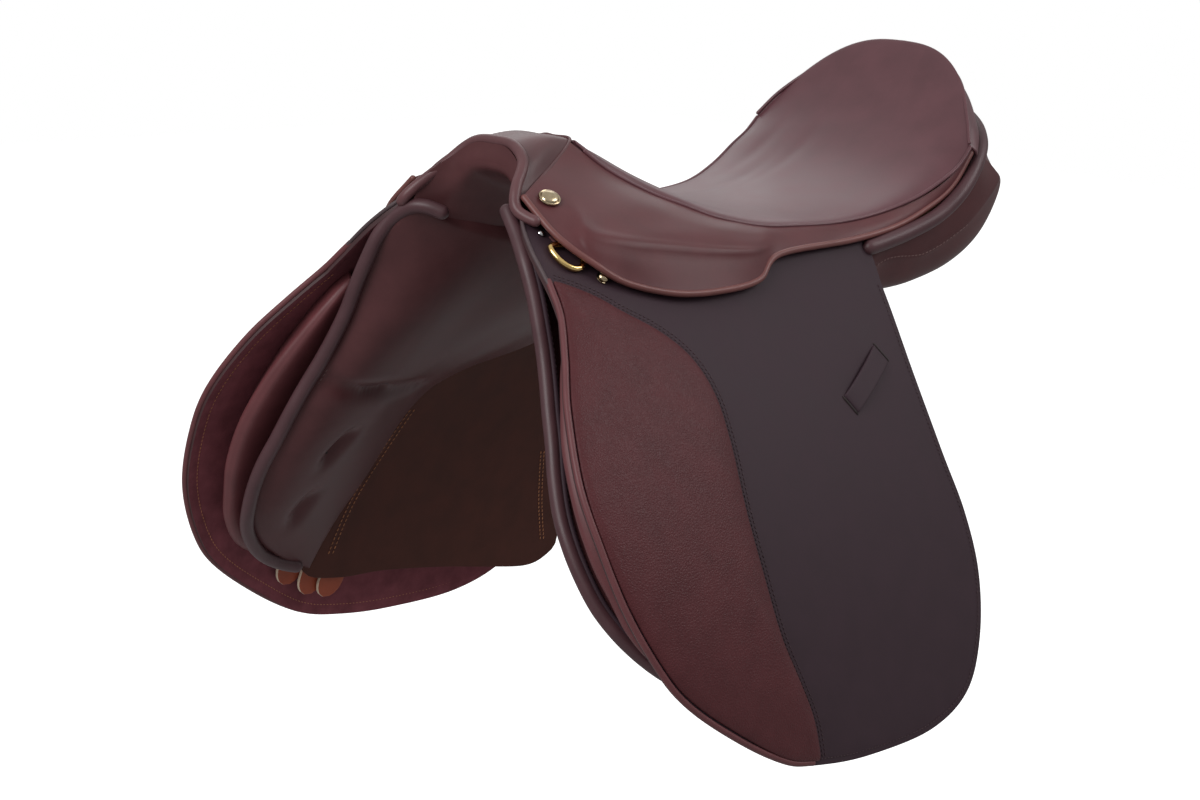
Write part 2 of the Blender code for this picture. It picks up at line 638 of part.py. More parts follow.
def build_flap(label, side, mats):
    origin = mirror(flap_hinge(), side)
    plate("flap_" + label, outline(FLAP_LOW, 6, 38), (-100, 200), (0.0, FLAP_LEATHER), side, mats["flap"],
          rings=(1.0, 0.8, 0.55, 0.28), origin=origin)
    strip("flap_top_" + label, FLAP_TOP, (0.0, FLAP_LEATHER), side, mats["flap"])
    edge = spline(KNEE_PAD, 30, closed=True)
    plate("knee_pad_" + label, edge, (-222, 210), (-2.6, -1.4), side, mats["knee"],
          rings=(1.0, 0.9, 0.68, 0.36), origin=origin, crown=6.5)
    loft("knee_block_" + label, [block_section(*row) for row in KNEE_BLOCK], side, mats["block"], origin)
    (s0, t0), (s1, t1) = KEEPER
    path, ups = [], []
    for k, d in ((0, -1.9), (0.12, -2.9), (0.5, -4.2), (0.88, -2.9), (1, -1.9)):
        s, t = s0 + (s1 - s0) * k, t0 + (t1 - t0) * k
        path.append(sheet(s, t, d))
        ups.append(np.subtract(sheet(s, t, -1), sheet(s, t, 0)))
    bar("keeper_" + label, path, ups, 17.0, 2.0, mats["flap"], side, origin=origin, count=9)


# Billets and their web

BILLETS = ((-150.0, -180.0, 0), (-116.0, -160.0, 1), (-82.0, -144.0, 2))
BILLET_TOP = 33.0
BILLET_END = (346.0, 355.0, 357.0)


def billet_pivot(k):
    s, _, layer = BILLETS[k]
    return sheet(s, BILLET_TOP + 4, BILLET_DEPTH + BILLET_STEP * layer)


def build_billets(label, side, mats):
    for k, (top, tip, layer) in enumerate(BILLETS):
        depth = BILLET_DEPTH + BILLET_THICK / 2 + BILLET_STEP * layer
        path, ups, widths = [], [], []
        for f in np.linspace(0, 1, 9):
            s, t = top + (tip - top) * f, BILLET_TOP + (BILLET_END[k] - BILLET_TOP) * f
            path.append(sheet(s, t, depth))
            ups.append(np.subtract(sheet(s, t, -1), sheet(s, t, 0)))
        bar("billet_%d_%s" % (k + 1, label), path, ups, BILLET_WIDTH, BILLET_THICK, mats["billet"], side,
            origin=mirror(billet_pivot(k), side), count=10)
    rows = [[sheet(s, t, WEB_DEPTH) for s in (-166, -130, -100, -66)] for t in (-3, 8, 20, 31)]
    grid = net(rows, 4, 5)
    shell("billet_web_" + label, grid, thick_grid(grid, 1.4), side, mats["web"])


# Panel: channel lining, pads with their front arms, rolled edges, sweat flaps

BEARING = [
    [(42, 261, 80), (56, 268, 77), (72, 266, 75), (87, 254, 72), (98, 243, 70)],
    [(40, 264, 56), (56, 273, 52), (73, 273, 52), (90, 264, 55), (102, 248, 62)],
    [(37, 242, 26), (56, 248, 15), (76, 247, 14), (96, 238, 23), (109, 224, 46)],
    [(35, 205, 4), (55, 206, -7), (78, 204, -9), (100, 199, 2), (111, 195, 27)],
    [(34, 150, -5), (55, 150, -17), (78, 150, -18), (98, 150, -13), (109, 150, 8)],
    [(34, 95, -8), (55, 95, -21), (78, 95, -23), (98, 95, -18), (108.5, 95, 3)],
    [(34, 40, -8), (57, 40, -24), (82, 40, -31), (104, 40, -35), sheet(40, 62, 33)],
    [(34, -15, -5), (62, -15, -28), (95, -15, -47), (122, -15, -64), sheet(-14, 113, 31)],
    [(35, -75, 5), (66, -85, -25), (100, -92, -57), (132, -95, -88), sheet(-86, 140, 31)],
    [(36, -125, 15), (68, -140, -24), sheet(-152, 86, 60), sheet(-152, 130, 52), sheet(-120, 174, 31)],
    [(38, -168, 26), sheet(-188, 12, 60), sheet(-200, 92, 66), sheet(-200, 175, 62), sheet(-151, 258, 31)],
    [(43, -204, 38), sheet(-224, 24, 56), sheet(-241, 112, 66), sheet(-247, 200, 64), sheet(-169, 317, 32)],
    [(47, -227, 50), sheet(-242.5, 40, 42), sheet(-260, 118, 54), sheet(-270, 197, 57), sheet(-231, 293, 43)],
]
BACKING = [
    [(42, 257, 90), (56, 262, 88), (72, 258, 85), (87, 246, 80), (97, 236, 77)],
    [(40, 252, 97), (56, 254, 95), (73, 248, 91), (89, 236, 83), (101, 224, 75)],
    [(37, 243, 72), (55, 243, 70), (75, 238, 66), (95, 226, 62), (109, 207, 60)],
    [(36, 207, 24), (55, 207, 22), (78, 202, 24), (98, 192, 34), (110, 184, 46)],
    [(35, 150, 8), (55, 150, 9), (78, 150, 12), (96, 150, 17), (109.5, 150, 30)],
    [(35, 95, 3), (55, 95, 3), (78, 95, 4), (96, 95, 5), (108.5, 95, 14)],
    [(35, 40, 2), (57, 40, 1), (80, 40, -1), (100, 40, -9), sheet(40, 50, PAD_DEPTH + 2)],
    [(35, -15, 5), (60, -15, 3), (82, -15, -5), sheet(-15, 45, PAD_DEPTH + 2.5), sheet(-15, 106, PAD_DEPTH)],
    [(36, -75, 15), (60, -78, 11), (78, -84, 0), sheet(-90, 62, PAD_DEPTH + 2), sheet(-87, 134, PAD_DEPTH)],
    [(37, -125, 26), (58, -130, 18), sheet(-143, 40, PAD_DEPTH + 3), sheet(-146, 100, PAD_DEPTH),
     sheet(-122, 168, PAD_DEPTH)],
    [(39, -168, 38), sheet(-177, -10, PAD_DEPTH + 3), sheet(-190, 60, PAD_DEPTH + 1), sheet(-194, 150, PAD_DEPTH),
     sheet(-153, 252, PAD_DEPTH)],
    [(43, -202, 50), sheet(-220, 8, 33), sheet(-235, 92, 41), sheet(-241, 180, 43), sheet(-171, 312, PAD_DEPTH)],
    [(48, -225, 60), sheet(-241, 32, 34), sheet(-258, 106, 46), sheet(-269, 190, 48), sheet(-230, 288, 36)],
]
TUFTS = ((-192.0, 141.0), (-214.0, 199.0), (-226.0, 262.0))
TUFT_DEPTH = 7.0
TUFT_REACH = 16.0


def tufted(grid):
    """The bearing face drawn in at its three tufts."""
    n = normals(grid)
    out = grid.copy()
    for s, t in TUFTS:
        heart = np.array(sheet(s, t, 62))
        away = np.linalg.norm(grid - heart, axis=2, keepdims=True)
        pull = np.exp(-(away / TUFT_REACH) ** 2)
        pull[np.unravel_index(np.argmin(away), away.shape)] = 1.0
        out += n * TUFT_DEPTH * pull
    return out


def build_pad(label, side, mats):
    along, across = 31, 11
    bearing = net(BEARING, along, across)
    backing = net(BACKING, along, across)
    shell("panel_pad_" + label, tufted(bearing), backing, side, mats["panel"])


ROLL = [(45, -236, 58), (61, -241, 45), (77.5, -247, 27), (89, -249, 6.5), (98, -251, -14),
        (105, -252.5, -32), (113, -256, -51), (122, -261, -71), (133, -267, -93), (142, -272.5, -113),
        (153, -277, -136), (165, -279, -156), (177, -277.5, -176), (189, -272.5, -196), (201, -264, -213),
        (211, -251.5, -228), (219, -236, -241), (223.5, -219, -250.5), (225, -203, -256.5), (225, -188, -260)]
REAR_ROLL = [(114, 99, 23), (116, 127, 30), (118.5, 156, 41), (119, 183, 57.5), (112, 211, 77.5),
             (97, 231, 93.5), (71, 245, 106), (37, 254, 116), (0, 257, 120)]
REAR_ROLL_RADIUS = 6.0


def build_rolls(mats):
    for label, side in SIDES:
        tube("panel_roll_" + label, ROLL, ROLL_RADIUS, mats["roll"], side, count=24, sides=8)
    path = [(-x, y, z) for x, y, z in REAR_ROLL[:-1]] + REAR_ROLL[::-1]
    tube("rear_roll", path, REAR_ROLL_RADIUS, mats["roll"], count=33)


LINING_ROWS = [
    [(0, -221, 97), (18, -221, 96), (34, -223, 85), (44, -226, 72), (48, -229, 63)],
    [(0, -213, 84), (18, -213, 81), (31, -214, 69), (40, -216, 58), (43, -218, 53)],
    [(0, -200, 77), (17, -200, 73), (28, -200, 61), (36, -201, 50), (40, -202, 46)],
    [(0, -178, 68), (16, -178, 64), (27, -178, 53), (33, -178, 43), (36, -178, 40)],
    [(0, -145, 54), (16, -145, 51), (27, -145, 41), (33, -145, 33), (36, -145, 31)],
    [(0, -105, 34), (17, -105, 32), (26, -105, 25), (31, -105, 21), (34, -105, 21)],
    [(0, -60, 13), (17, -60, 12), (26, -60, 10.5), (31, -60, 10.5), (33, -60, 12)],
    [(0, -10, 0), (17, -10, 0.5), (26, -10, 2.5), (31, -10, 4), (33, -10, 5)],
    [(0, 40, 0), (18, 40, 0.3), (27, 40, 1.2), (32, 40, 2.6), (34, 40, 3.4)],
    [(0, 95, 2), (18, 95, 2), (28, 95, 2.6), (34, 95, 3.6), (38, 95, 3.8)],
    [(0, 150, 8), (18, 150, 7.6), (28, 150, 8), (34, 150, 8.8), (38, 150, 9.2)],
    [(0, 205, 33), (18, 205, 30), (28, 205, 27), (34, 205, 25.5), (38, 205, 25)],
    [(0, 240, 80), (18, 240, 77), (28, 240, 75), (34, 240, 74), (38, 240, 73)],
    [(0, 252, 108), (18, 252, 106), (28, 251, 102), (34, 250, 100), (38, 249, 99)],
]


def build_lining(mats):
    rows = [[(-x, y, z) for x, y, z in row[:0:-1]] + row for row in LINING_ROWS]
    grid = net(rows, 22, 13)
    shell("channel_lining", grid, grid + np.array((0, 0, LINING)), 1.0, mats["panel"])


FACING = [((0, 243, 159), (0, 250, 147), (0, 253, 132)),
          ((38, 240, 152), (38, 247, 142), (38, 250, 128)),
          ((72, 230, 136), (72, 238, 127), (70, 241, 117)),
          ((98, 212, 112), (99, 220, 107), (96, 227, 102)),
          ((112, 202, 93), (114, 206, 90), (113, 209, 87))]


def build_facing(mats):
    grid = net(mirrored_rows(FACING), 17, 3)
    shell("cantle_facing", grid, thick_grid(grid, -2.0), 1.0, mats["seat"])


def build_sweat_flap(label, side, mats):
    plate("sweat_flap_" + label, outline(SWEAT_FLAP, 4, 34), (-70, 190), (SWEAT_DEPTH, SWEAT_DEPTH + 2.6),
          side, mats["sweat"], rings=(1.0, 0.66, 0.33))


def make_materials():
    return {
        "seat": leather("seat_leather", (0.115, 0.055, 0.055), 0.42),
        "skirt": leather("skirt_leather", (0.125, 0.058, 0.056), 0.40),
        "pommel": leather("pommel_leather", (0.075, 0.045, 0.045), 0.45),
        "knee": leather("grained_leather", (0.090, 0.032, 0.034), 0.45),
        "block": leather("block_leather", (0.110, 0.045, 0.045), 0.50),
        "flap": leather("flap_leather", (0.056, 0.040, 0.046), 0.50),
        "panel": leather("panel_leather", (0.050, 0.030, 0.028), 0.40),
        "roll": leather("roll_leather", (0.060, 0.040, 0.038), 0.40),
        "sweat": leather("sweat_leather", (0.032, 0.014, 0.010), 0.60),
        "billet": leather("billet_leather", (0.205, 0.060, 0.028), 0.50),
        "web": leather("linen_web", (0.55, 0.48, 0.36), 0.85),
        "foam": leather("seat_foam", (0.60, 0.52, 0.38), 0.90),
        "wood": leather("laminated_beech", (0.48, 0.30, 0.15), 0.60),
        "steel": principled("forged_steel", (0.62, 0.62, 0.63), 0.28, 1.0),
        "brass": principled("polished_brass", (0.78, 0.55, 0.22), 0.22, 1.0),
    }


def main():
    clear_scene()
    mats = make_materials()
    build_seat(mats)
    build_pommel(mats)
    build_tree(mats)
    build_lining(mats)
    build_facing(mats)
    build_rolls(mats)
    for label, side in SIDES:
        build_skirt(label, side, mats)
        build_nail(label, side, mats)
        build_spring(label, side, mats)
        build_point(label, side, mats)
        build_stirrup_bar(label, side, mats)
        build_catch(label, side, mats)
        build_dee(label, side, mats)
        build_flap(label, side, mats)
        build_billets(label, side, mats)
        build_pad(label, side, mats)
        build_sweat_flap(label, side, mats)


main()
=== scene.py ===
"""Looks of the cross-country saddle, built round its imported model.

+X is the near (left) side, -Y the pommel, +Y the cantle and +Z up. Points are in millimetres
and become metres when a mesh is made. On the side sheet, s runs back, t down and d inwards.
"""
import math

import bpy
import numpy as np
from mathutils import Matrix, Vector


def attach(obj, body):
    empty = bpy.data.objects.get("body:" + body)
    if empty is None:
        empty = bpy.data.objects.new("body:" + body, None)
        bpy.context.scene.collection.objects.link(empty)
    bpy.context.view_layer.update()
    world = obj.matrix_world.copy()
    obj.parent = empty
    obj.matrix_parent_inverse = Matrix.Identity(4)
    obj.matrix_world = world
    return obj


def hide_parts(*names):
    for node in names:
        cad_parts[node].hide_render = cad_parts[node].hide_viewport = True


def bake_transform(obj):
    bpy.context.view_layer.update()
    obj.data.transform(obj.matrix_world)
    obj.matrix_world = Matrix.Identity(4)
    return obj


MM = 0.001
SIDES = (("left", 1.0), ("right", -1.0))

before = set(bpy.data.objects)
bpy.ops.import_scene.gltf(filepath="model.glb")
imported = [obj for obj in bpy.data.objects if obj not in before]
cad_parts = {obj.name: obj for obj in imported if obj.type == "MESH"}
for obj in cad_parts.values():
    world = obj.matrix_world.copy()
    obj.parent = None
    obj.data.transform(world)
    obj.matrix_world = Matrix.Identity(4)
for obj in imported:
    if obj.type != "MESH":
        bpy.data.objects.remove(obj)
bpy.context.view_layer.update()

# Sizes of the leathers and trims
FLAP_LEATHER = 4.5
SKIRT_LEATHER = 3.0
COVER_LEATHER = 2.4
LINING_LEATHER = 1.8
HINGE_T = 38.0
BEND_ABOVE = 12.0
BEND_BELOW = 14.0
WELT_RADIUS = 1.5
ROLL_RADIUS = 5.5
REAR_ROLL_RADIUS = 6.0
PIPING_RADIUS = 4.2
STITCH_LENGTH = 2.9
STITCH_GAP = 1.1
STITCH_WIDTH = 0.9
STITCH_SLANT = 0.12
STITCH_FLATNESS = 0.8
STITCH_LIFT = 0.1
WIDE_EDGE = 1.0          # rounded edges wider than this get one more step
TUBE_END = 0.25          # least share of a tube's radius at its rounded end
RING_POINTS = 601        # points round a plate's border

# Side sheet that the flap follows, with values at its front and at its rear
SHEET_FRONT = -250.0
SHEET_REAR = 120.0
SHEET_TOP_X = (103.0, 110.0)
SHEET_TOP_Z = (24.0, 26.0)
SHEET_SLOPE_TOP = (47.0, 35.0)
SHEET_SLOPE_LOW = (10.0, 14.0)
SHEET_DROP = 350.0
SHEET_BOW = 1.0
SHEET_BOW_MIDDLE = -70.0


def sheet(s, t, d=0.0):
    """Points on the near side sheet."""
    s, t, d = np.broadcast_arrays(*(np.asarray(k, float) for k in (s, t, d)))
    w = (s - SHEET_FRONT) / (SHEET_REAR - SHEET_FRONT)
    x, z, top, low = (front + (rear - front) * w for front, rear in
                      (SHEET_TOP_X, SHEET_TOP_Z, SHEET_SLOPE_TOP, SHEET_SLOPE_LOW))
    top = np.radians(top)
    bend = (np.radians(low) - top) / SHEET_DROP
    here = top + bend * t
    x = x - SHEET_BOW * ((s - SHEET_BOW_MIDDLE) / 100.0) ** 2 + (np.cos(top) - np.cos(here)) / bend
    z = z - (np.sin(here) - np.sin(top)) / bend
    return np.stack([x - np.cos(here) * d, s, z - np.sin(here) * d], axis=-1)


# Smooth curves and surfaces through chosen points

def neighbours(places, count):
    """First of the four points round each place, and their weights."""
    places = np.clip(np.asarray(places, float), 0.0, count - 1.0)
    first = np.minimum(np.floor(places).astype(int), count - 2)
    t = places - first
    weights = 0.5 * np.stack([-t + 2 * t ** 2 - t ** 3, 2 - 5 * t ** 2 + 3 * t ** 3,
                              t + 4 * t ** 2 - 3 * t ** 3, -t ** 2 + t ** 3], axis=-1)
    return first, weights


def ended(points):
    """The points with one more beyond each end."""
    return np.concatenate([[2 * points[0] - points[1]], points, [2 * points[-1] - points[-2]]])


def on_curve(points, places):
    p = ended(np.asarray(points, float))
    i, w = neighbours(places, len(points))
    return sum(w[..., k, None] * p[i + k] for k in range(4))


def on_net(rows, a, b):
    """Points on the smooth surface through rows of points: a counts rows and b counts columns."""
    rows = np.asarray(rows, float)
    p = ended(rows)
    p = np.swapaxes(ended(np.swapaxes(p, 0, 1)), 0, 1)
    i, wa = neighbours(a, rows.shape[0])
    j, wb = neighbours(b, rows.shape[1])
    return sum(wa[..., k, None] * wb[..., m, None] * p[i + k, j + m] for k in range(4) for m in range(4))


def smooth_line(points, per_span=10):
    return on_curve(points, np.linspace(0, len(points) - 1, (len(points) - 1) * per_span + 1))


def lengths_along(line):
    return np.concatenate([[0.0], np.cumsum(np.linalg.norm(np.diff(line, axis=0), axis=1))])


def at_length(line, where):
    far = lengths_along(line)
    return np.stack([np.interp(where, far, line[:, k]) for k in range(line.shape[1])], axis=-1)


def even(line, count):
    """The same line with evenly spaced points."""
    return at_length(line, np.linspace(0, lengths_along(line)[-1], count))


def unit_of(vectors, least=1e-9):
    """The vectors at length one."""
    return vectors / np.maximum(np.linalg.norm(vectors, axis=-1, keepdims=True), least)


def held(x):
    """Numbers held between 0 and 1."""
    return np.clip(x, 0, 1)


def eased(x):
    """Smooth step from 0 to 1."""
    x = held(x)
    return x ** 2 * (3 - 2 * x)


def crowded(x, power):
    """Numbers from -1 to 1 drawn towards both ends."""
    return np.sign(x) * (1 - (1 - np.abs(x)) ** power)


def between(first, second, share):
    """Points that are a share of the first surface's and the rest of the second's."""
    return first * share[:, None] + second * (1 - share)[:, None]


def across(surface, a, b, step=0.02):
    """Unit normals of a surface of two numbers."""
    along = surface(a + step, b) - surface(a - step, b)
    side = surface(a, b + step) - surface(a, b - step)
    return unit_of(np.cross(along, side))


def sided(points, side):
    return np.asarray(points, float) * (side, 1.0, 1.0)


def hump(x, width):
    return np.exp(-(x / width) ** 2)


# Modelling helpers

def choose(piece):
    """Selects one piece alone and makes it active."""
    bpy.ops.object.select_all(action="DESELECT")
    piece.select_set(True)
    bpy.context.view_layer.objects.active = piece


def points_of(piece):
    flat = np.empty(len(piece.data.vertices) * 3)
    piece.data.vertices.foreach_get("co", flat)
    return flat.reshape(-1, 3)


def place_points(piece, points):
    piece.data.vertices.foreach_set("co", (np.asarray(points) * MM).ravel())
    piece.data.update()


def face_outwards(piece):
    choose(piece)
    bpy.ops.object.mode_set(mode="EDIT")
    bpy.ops.mesh.select_all(action="SELECT")
    bpy.ops.mesh.normals_make_consistent(inside=False)
    bpy.ops.object.mode_set(mode="OBJECT")


def finish(piece, edge, rounds):
    """Rounds a piece's edges, smooths it and applies both."""
    choose(piece)
    if edge:
        bevel = piece.modifiers.new("rounded edge", "BEVEL")
        bevel.width = edge * MM
        bevel.segments = 3 if edge > WIDE_EDGE else 2
        bevel.limit_method = "ANGLE"
        bevel.angle_limit = math.radians(50)
    if rounds:
        smooth = piece.modifiers.new("smooth", "SUBSURF")
        smooth.levels = rounds
        smooth.render_levels = rounds
    for modifier in list(piece.modifiers):
        bpy.ops.object.modifier_apply(modifier=modifier.name)
    bpy.ops.object.shade_smooth()
    return piece


def extrude_up(name, lifts):
    """Names the new flat primitive, extrudes it by each lift and gives it with its points."""
    piece = bpy.context.object
    piece.name = name
    bpy.ops.object.mode_set(mode="EDIT")
    bpy.ops.mesh.select_all(action="SELECT")
    for lift in lifts:
        bpy.ops.mesh.extrude_region_move(TRANSFORM_OT_translate={"value": (0.0, 0.0, lift)})
    bpy.ops.object.mode_set(mode="OBJECT")
    return piece, points_of(piece)


def linked(name, data):
    """New object with the given data, in the scene."""
    piece = bpy.data.objects.new(name, data)
    bpy.context.scene.collection.objects.link(piece)
    return piece


def block(name, cells, place, side, materials, layers=(0.0, 1.0), edge=0.0, rounds=0):
    """Closed piece: a grid primitive extruded through its layers, then laid by place(u, v, w).

    w is 0 on the inner face and 1 on the outer one. materials are for the outer face, and
    then, where they differ, the inner face and the rim.
    """
    bpy.ops.object.select_all(action="DESELECT")
    bpy.ops.mesh.primitive_grid_add(x_subdivisions=cells[0], y_subdivisions=cells[1], size=1.0)
    piece, unit = extrude_up(name, np.diff(layers))
    u, v, w = unit[:, 0] + 0.5, unit[:, 1] + 0.5, held(unit[:, 2])
    for material in materials:
        piece.data.materials.append(material)
    if len(materials) > 1:
        for face in piece.data.polygons:
            depth = [w[i] for i in face.vertices]
            inner = max(depth) < 0.01
            rim = min(depth) < 0.99 and not inner
            face.material_index = 1 if inner else (len(materials) - 1 if rim else 0)
    place_points(piece, sided(place(u, v, w), side))
    face_outwards(piece)
    return finish(piece, edge, rounds)


def tube(name, path, radius, material, side=1.0, closed=False, sides=12):
    """Round rod along a path, with rounded ends."""
    path = np.asarray(path, float)
    curve = bpy.data.curves.new(name, "CURVE")
    curve.dimensions = "3D"
    curve.bevel_depth = radius * MM
    curve.bevel_resolution = max(1, sides // 4)
    curve.use_fill_caps = not closed
    run = curve.splines.new("POLY")
    run.points.add(len(path) - 1)
    far = lengths_along(path)
    for point, p, f in zip(run.points, sided(path, side) * MM, far):
        point.co = (*p, 1.0)
        end = min(f, far[-1] - f) / radius
        if not closed and end < 1.0:
            point.radius = max(TUBE_END, math.sqrt(1.0 - (1.0 - end) ** 2))
    run.use_cyclic_u = closed
    choose(linked(name, curve))
    bpy.ops.object.convert(target="MESH")
    piece = bpy.context.object
    piece.data.materials.clear()
    piece.data.materials.append(material)
    bpy.ops.object.shade_smooth()
    return piece


def cord(name, path, radius, material, side=1.0, sides=12):
    """Tube with close points at both ends of its path, so that the ends come out round."""
    total = lengths_along(path)[-1]
    near = radius * np.array([0.0, 0.08, 0.25, 0.5, 0.75])
    middle = np.linspace(radius, total - radius, max(8, len(path)))
    path = at_length(path, np.concatenate([near, middle, total - near[::-1]]))
    return tube(name, path, radius, material, side, sides=sides)


def stitch_row(name, path, outs, material, side, length=STITCH_LENGTH, width=STITCH_WIDTH):
    """Row of sewn stitches along a path, each copied from one small capsule."""
    bpy.ops.object.select_all(action="DESELECT")
    bpy.ops.mesh.primitive_uv_sphere_add(segments=6, ring_count=5, radius=0.5)
    one = bpy.context.object
    shape = points_of(one)
    faces = [tuple(f.vertices) for f in one.data.polygons]
    bpy.data.objects.remove(one)
    far = lengths_along(path)
    count = max(1, int(far[-1] / (length + STITCH_GAP)))
    middles = (np.arange(count) + 0.5) * far[-1] / count
    ahead = unit_of(at_length(path, middles + 0.5) - at_length(path, middles - 0.5))
    up = unit_of(np.stack([np.interp(middles, far, outs[:, k]) for k in range(3)], axis=1))
    beside = np.cross(up, ahead)
    ahead = ahead + beside * STITCH_SLANT
    x, y, z = (shape[None, :, k:k + 1] for k in range(3))
    body = (ahead[:, None] * z * length + beside[:, None] * x * width
            + up[:, None] * (y * width * STITCH_FLATNESS + STITCH_LIFT))
    body = body + at_length(path, middles)[:, None]
    mesh = bpy.data.meshes.new(name)
    mesh.from_pydata((sided(body.reshape(-1, 3), side) * MM).tolist(), [],
                     [tuple(i + k * len(shape) for i in f) for k in range(count) for f in faces])
    mesh.materials.append(material)
    piece = linked(name, mesh)
    face_outwards(piece)
    bpy.ops.object.shade_smooth()
    return piece


def turned(name, profile, centre, out, material, side, segments=32, stretch=1.0):
    """Small turned piece: a circle extruded through a profile of (radius, height) points."""
    out = unit_of(out)
    along = np.array((0.0, 1.0, 0.0))
    along = unit_of(along - out * np.dot(along, out))
    beside = np.cross(out, along)
    bpy.ops.object.select_all(action="DESELECT")
    bpy.ops.mesh.primitive_circle_add(vertices=segments, radius=1.0, fill_type="NGON")
    piece, unit = extrude_up(name, [1.0] * (len(profile) - 1))
    level = np.clip(np.round(unit[:, 2]).astype(int), 0, len(profile) - 1)
    radius, height = np.array(profile)[level].T[:, :, None]
    place = (centre + along * (unit[:, :1] * radius * stretch) + beside * (unit[:, 1:2] * radius)
             + out * height)
    piece.data.materials.append(material)
    place_points(piece, sided(place, side))
    face_outwards(piece)
    bpy.ops.object.shade_smooth_by_angle(angle=math.radians(40))
    return piece


def ringed(u, v):
    """Ring from 0 at the heart to 1 at the border, and the share of the way round it."""
    a, b = 2 * u - 1, 2 * v - 1
    r = np.maximum(np.abs(a), np.abs(b))
    safe = np.maximum(r, 1e-9)
    a, b = a / safe, b / safe
    p = np.select([b <= -0.999999, a >= 0.999999, b >= 0.999999],
                  [(a + 1) / 8, 0.25 + (b + 1) / 8, 0.5 + (1 - a) / 8], 0.75 + (1 - b) / 8)
    return r, p


def plate(name, border, heart, depth, side, materials, cells, crowd=1.8, **shape):
    """Leather inside a border of (s, t) points: depth(r, w) gives how deep it lies."""
    ring = even(np.concatenate([border, border[:1]]), RING_POINTS)
    share = np.linspace(0, 1, RING_POINTS)

    def place(u, v, w):
        r, p = ringed(u, v)
        edge = np.stack([np.interp(p, share, ring[:, k]) for k in range(2)], axis=-1)
        r = crowded(r, crowd)
        st = heart + (edge - heart) * r[:, None]
        return sheet(st[:, 0], st[:, 1], depth(r, w))

    return block(name, (cells, cells), place, side, materials, **shape)


def beside_line(steps):
    """Directions square to the steps of a line of (s, t) points."""
    steps = unit_of(steps)
    return np.stack([-steps[:, 1], steps[:, 0]], axis=1)


def inset_ring(border, heart, by):
    """The border drawn in by a distance towards its heart."""
    normal = beside_line(np.roll(border, -1, axis=0) - np.roll(border, 1, axis=0))
    towards = np.sign(np.sum(normal * (np.asarray(heart) - border), axis=1, keepdims=True))
    return border + normal * towards * by


def outward(s, t):
    """Directions out of the side sheet."""
    return sheet(s, t, -1.0) - sheet(s, t, 0.0)


def sheet_path(line, depth):
    """Points and outward directions along a line of (s, t) points at a depth."""
    s, t = np.asarray(line, float).T
    return sheet(s, t, depth), outward(s, t)


# Node groups and finishes

def feed(tree, node, inputs):
    """Feeds a node's inputs, by label or number: sockets are linked and values are set."""
    for label, value in inputs.items():
        if isinstance(value, bpy.types.NodeSocket):
            tree.links.new(value, node.inputs[label])
        else:
            node.inputs[label].default_value = value


def node_of(tree, kind, inputs, **settings):
    """New shader node with its settings made and its inputs fed."""
    node = tree.nodes.new("ShaderNode" + kind)
    for name, value in settings.items():
        setattr(node, name, value)
    feed(tree, node, inputs)
    return node


def math_node(tree, kind, *values):
    return node_of(tree, "Math", dict(enumerate(values)), operation=kind).outputs[0]


def noise(tree, vector, scale, detail=3.0, roughness=0.55):
    inputs = {"Vector": vector, "Scale": scale, "Detail": detail, "Roughness": roughness}
    return node_of(tree, "TexNoise", inputs).outputs["Fac"]


def start_group(name, inputs, outputs):
    """Node group of floats: the group, its input sockets, its output node and the place on the piece."""
    group = bpy.data.node_groups.new(name, "ShaderNodeTree")
    for label, value in inputs.items():
        socket = group.interface.new_socket(label, in_out="INPUT", socket_type="NodeSocketFloat")
        socket.default_value = value
    for label in outputs:
        group.interface.new_socket(label, in_out="OUTPUT", socket_type="NodeSocketFloat")
    place = group.nodes.new("ShaderNodeTexCoord").outputs["Object"]
    return group, group.nodes.new("NodeGroupInput").outputs, group.nodes.new("NodeGroupOutput"), place


def leather_grain_group():
    """Pores and wrinkles of leather: height and a slow mottle."""
    group, source, sink, place = start_group(
        "leather grain", {"Cells per metre": 900.0, "Pebble": 0.3, "Wrinkle": 0.3}, ("Height", "Mottle"))
    size = source["Cells per metre"]
    warp = node_of(group, "TexNoise", {"Vector": place, "Scale": 260.0}).outputs["Color"]
    bent = node_of(group, "VectorMath", {0: warp, 1: (0.0016, 0.0016, 0.0016), 2: place},
                   operation="MULTIPLY_ADD").outputs[0]
    cells = node_of(group, "TexVoronoi", {"Vector": bent, "Scale": size}, feature="DISTANCE_TO_EDGE")
    gaps = math_node(group, "MULTIPLY", cells.outputs["Distance"], 3.0)
    crease = math_node(group, "SMOOTH_MIN", gaps, 1.0, 0.4)
    fine = noise(group, bent, math_node(group, "MULTIPLY", size, 2.2))
    fold = noise(group, place, 150.0, 3.0, 0.6)
    height = math_node(group, "MULTIPLY", crease, source["Pebble"])
    height = math_node(group, "MULTIPLY_ADD", fine, 0.35, height)
    height = math_node(group, "MULTIPLY_ADD", fold, source["Wrinkle"], height)
    feed(group, sink, {"Height": height, "Mottle": noise(group, place, 42.0, 4.0, 0.6)})
    return group


def nap_group():
    """Brushed nap of suede: height and mottle."""
    group, _, sink, place = start_group("suede nap", {}, ("Height", "Mottle"))
    feed(group, sink, {"Height": noise(group, place, 2400.0, 5.0, 0.7),
                       "Mottle": noise(group, place, 55.0, 5.0, 0.65)})
    return group


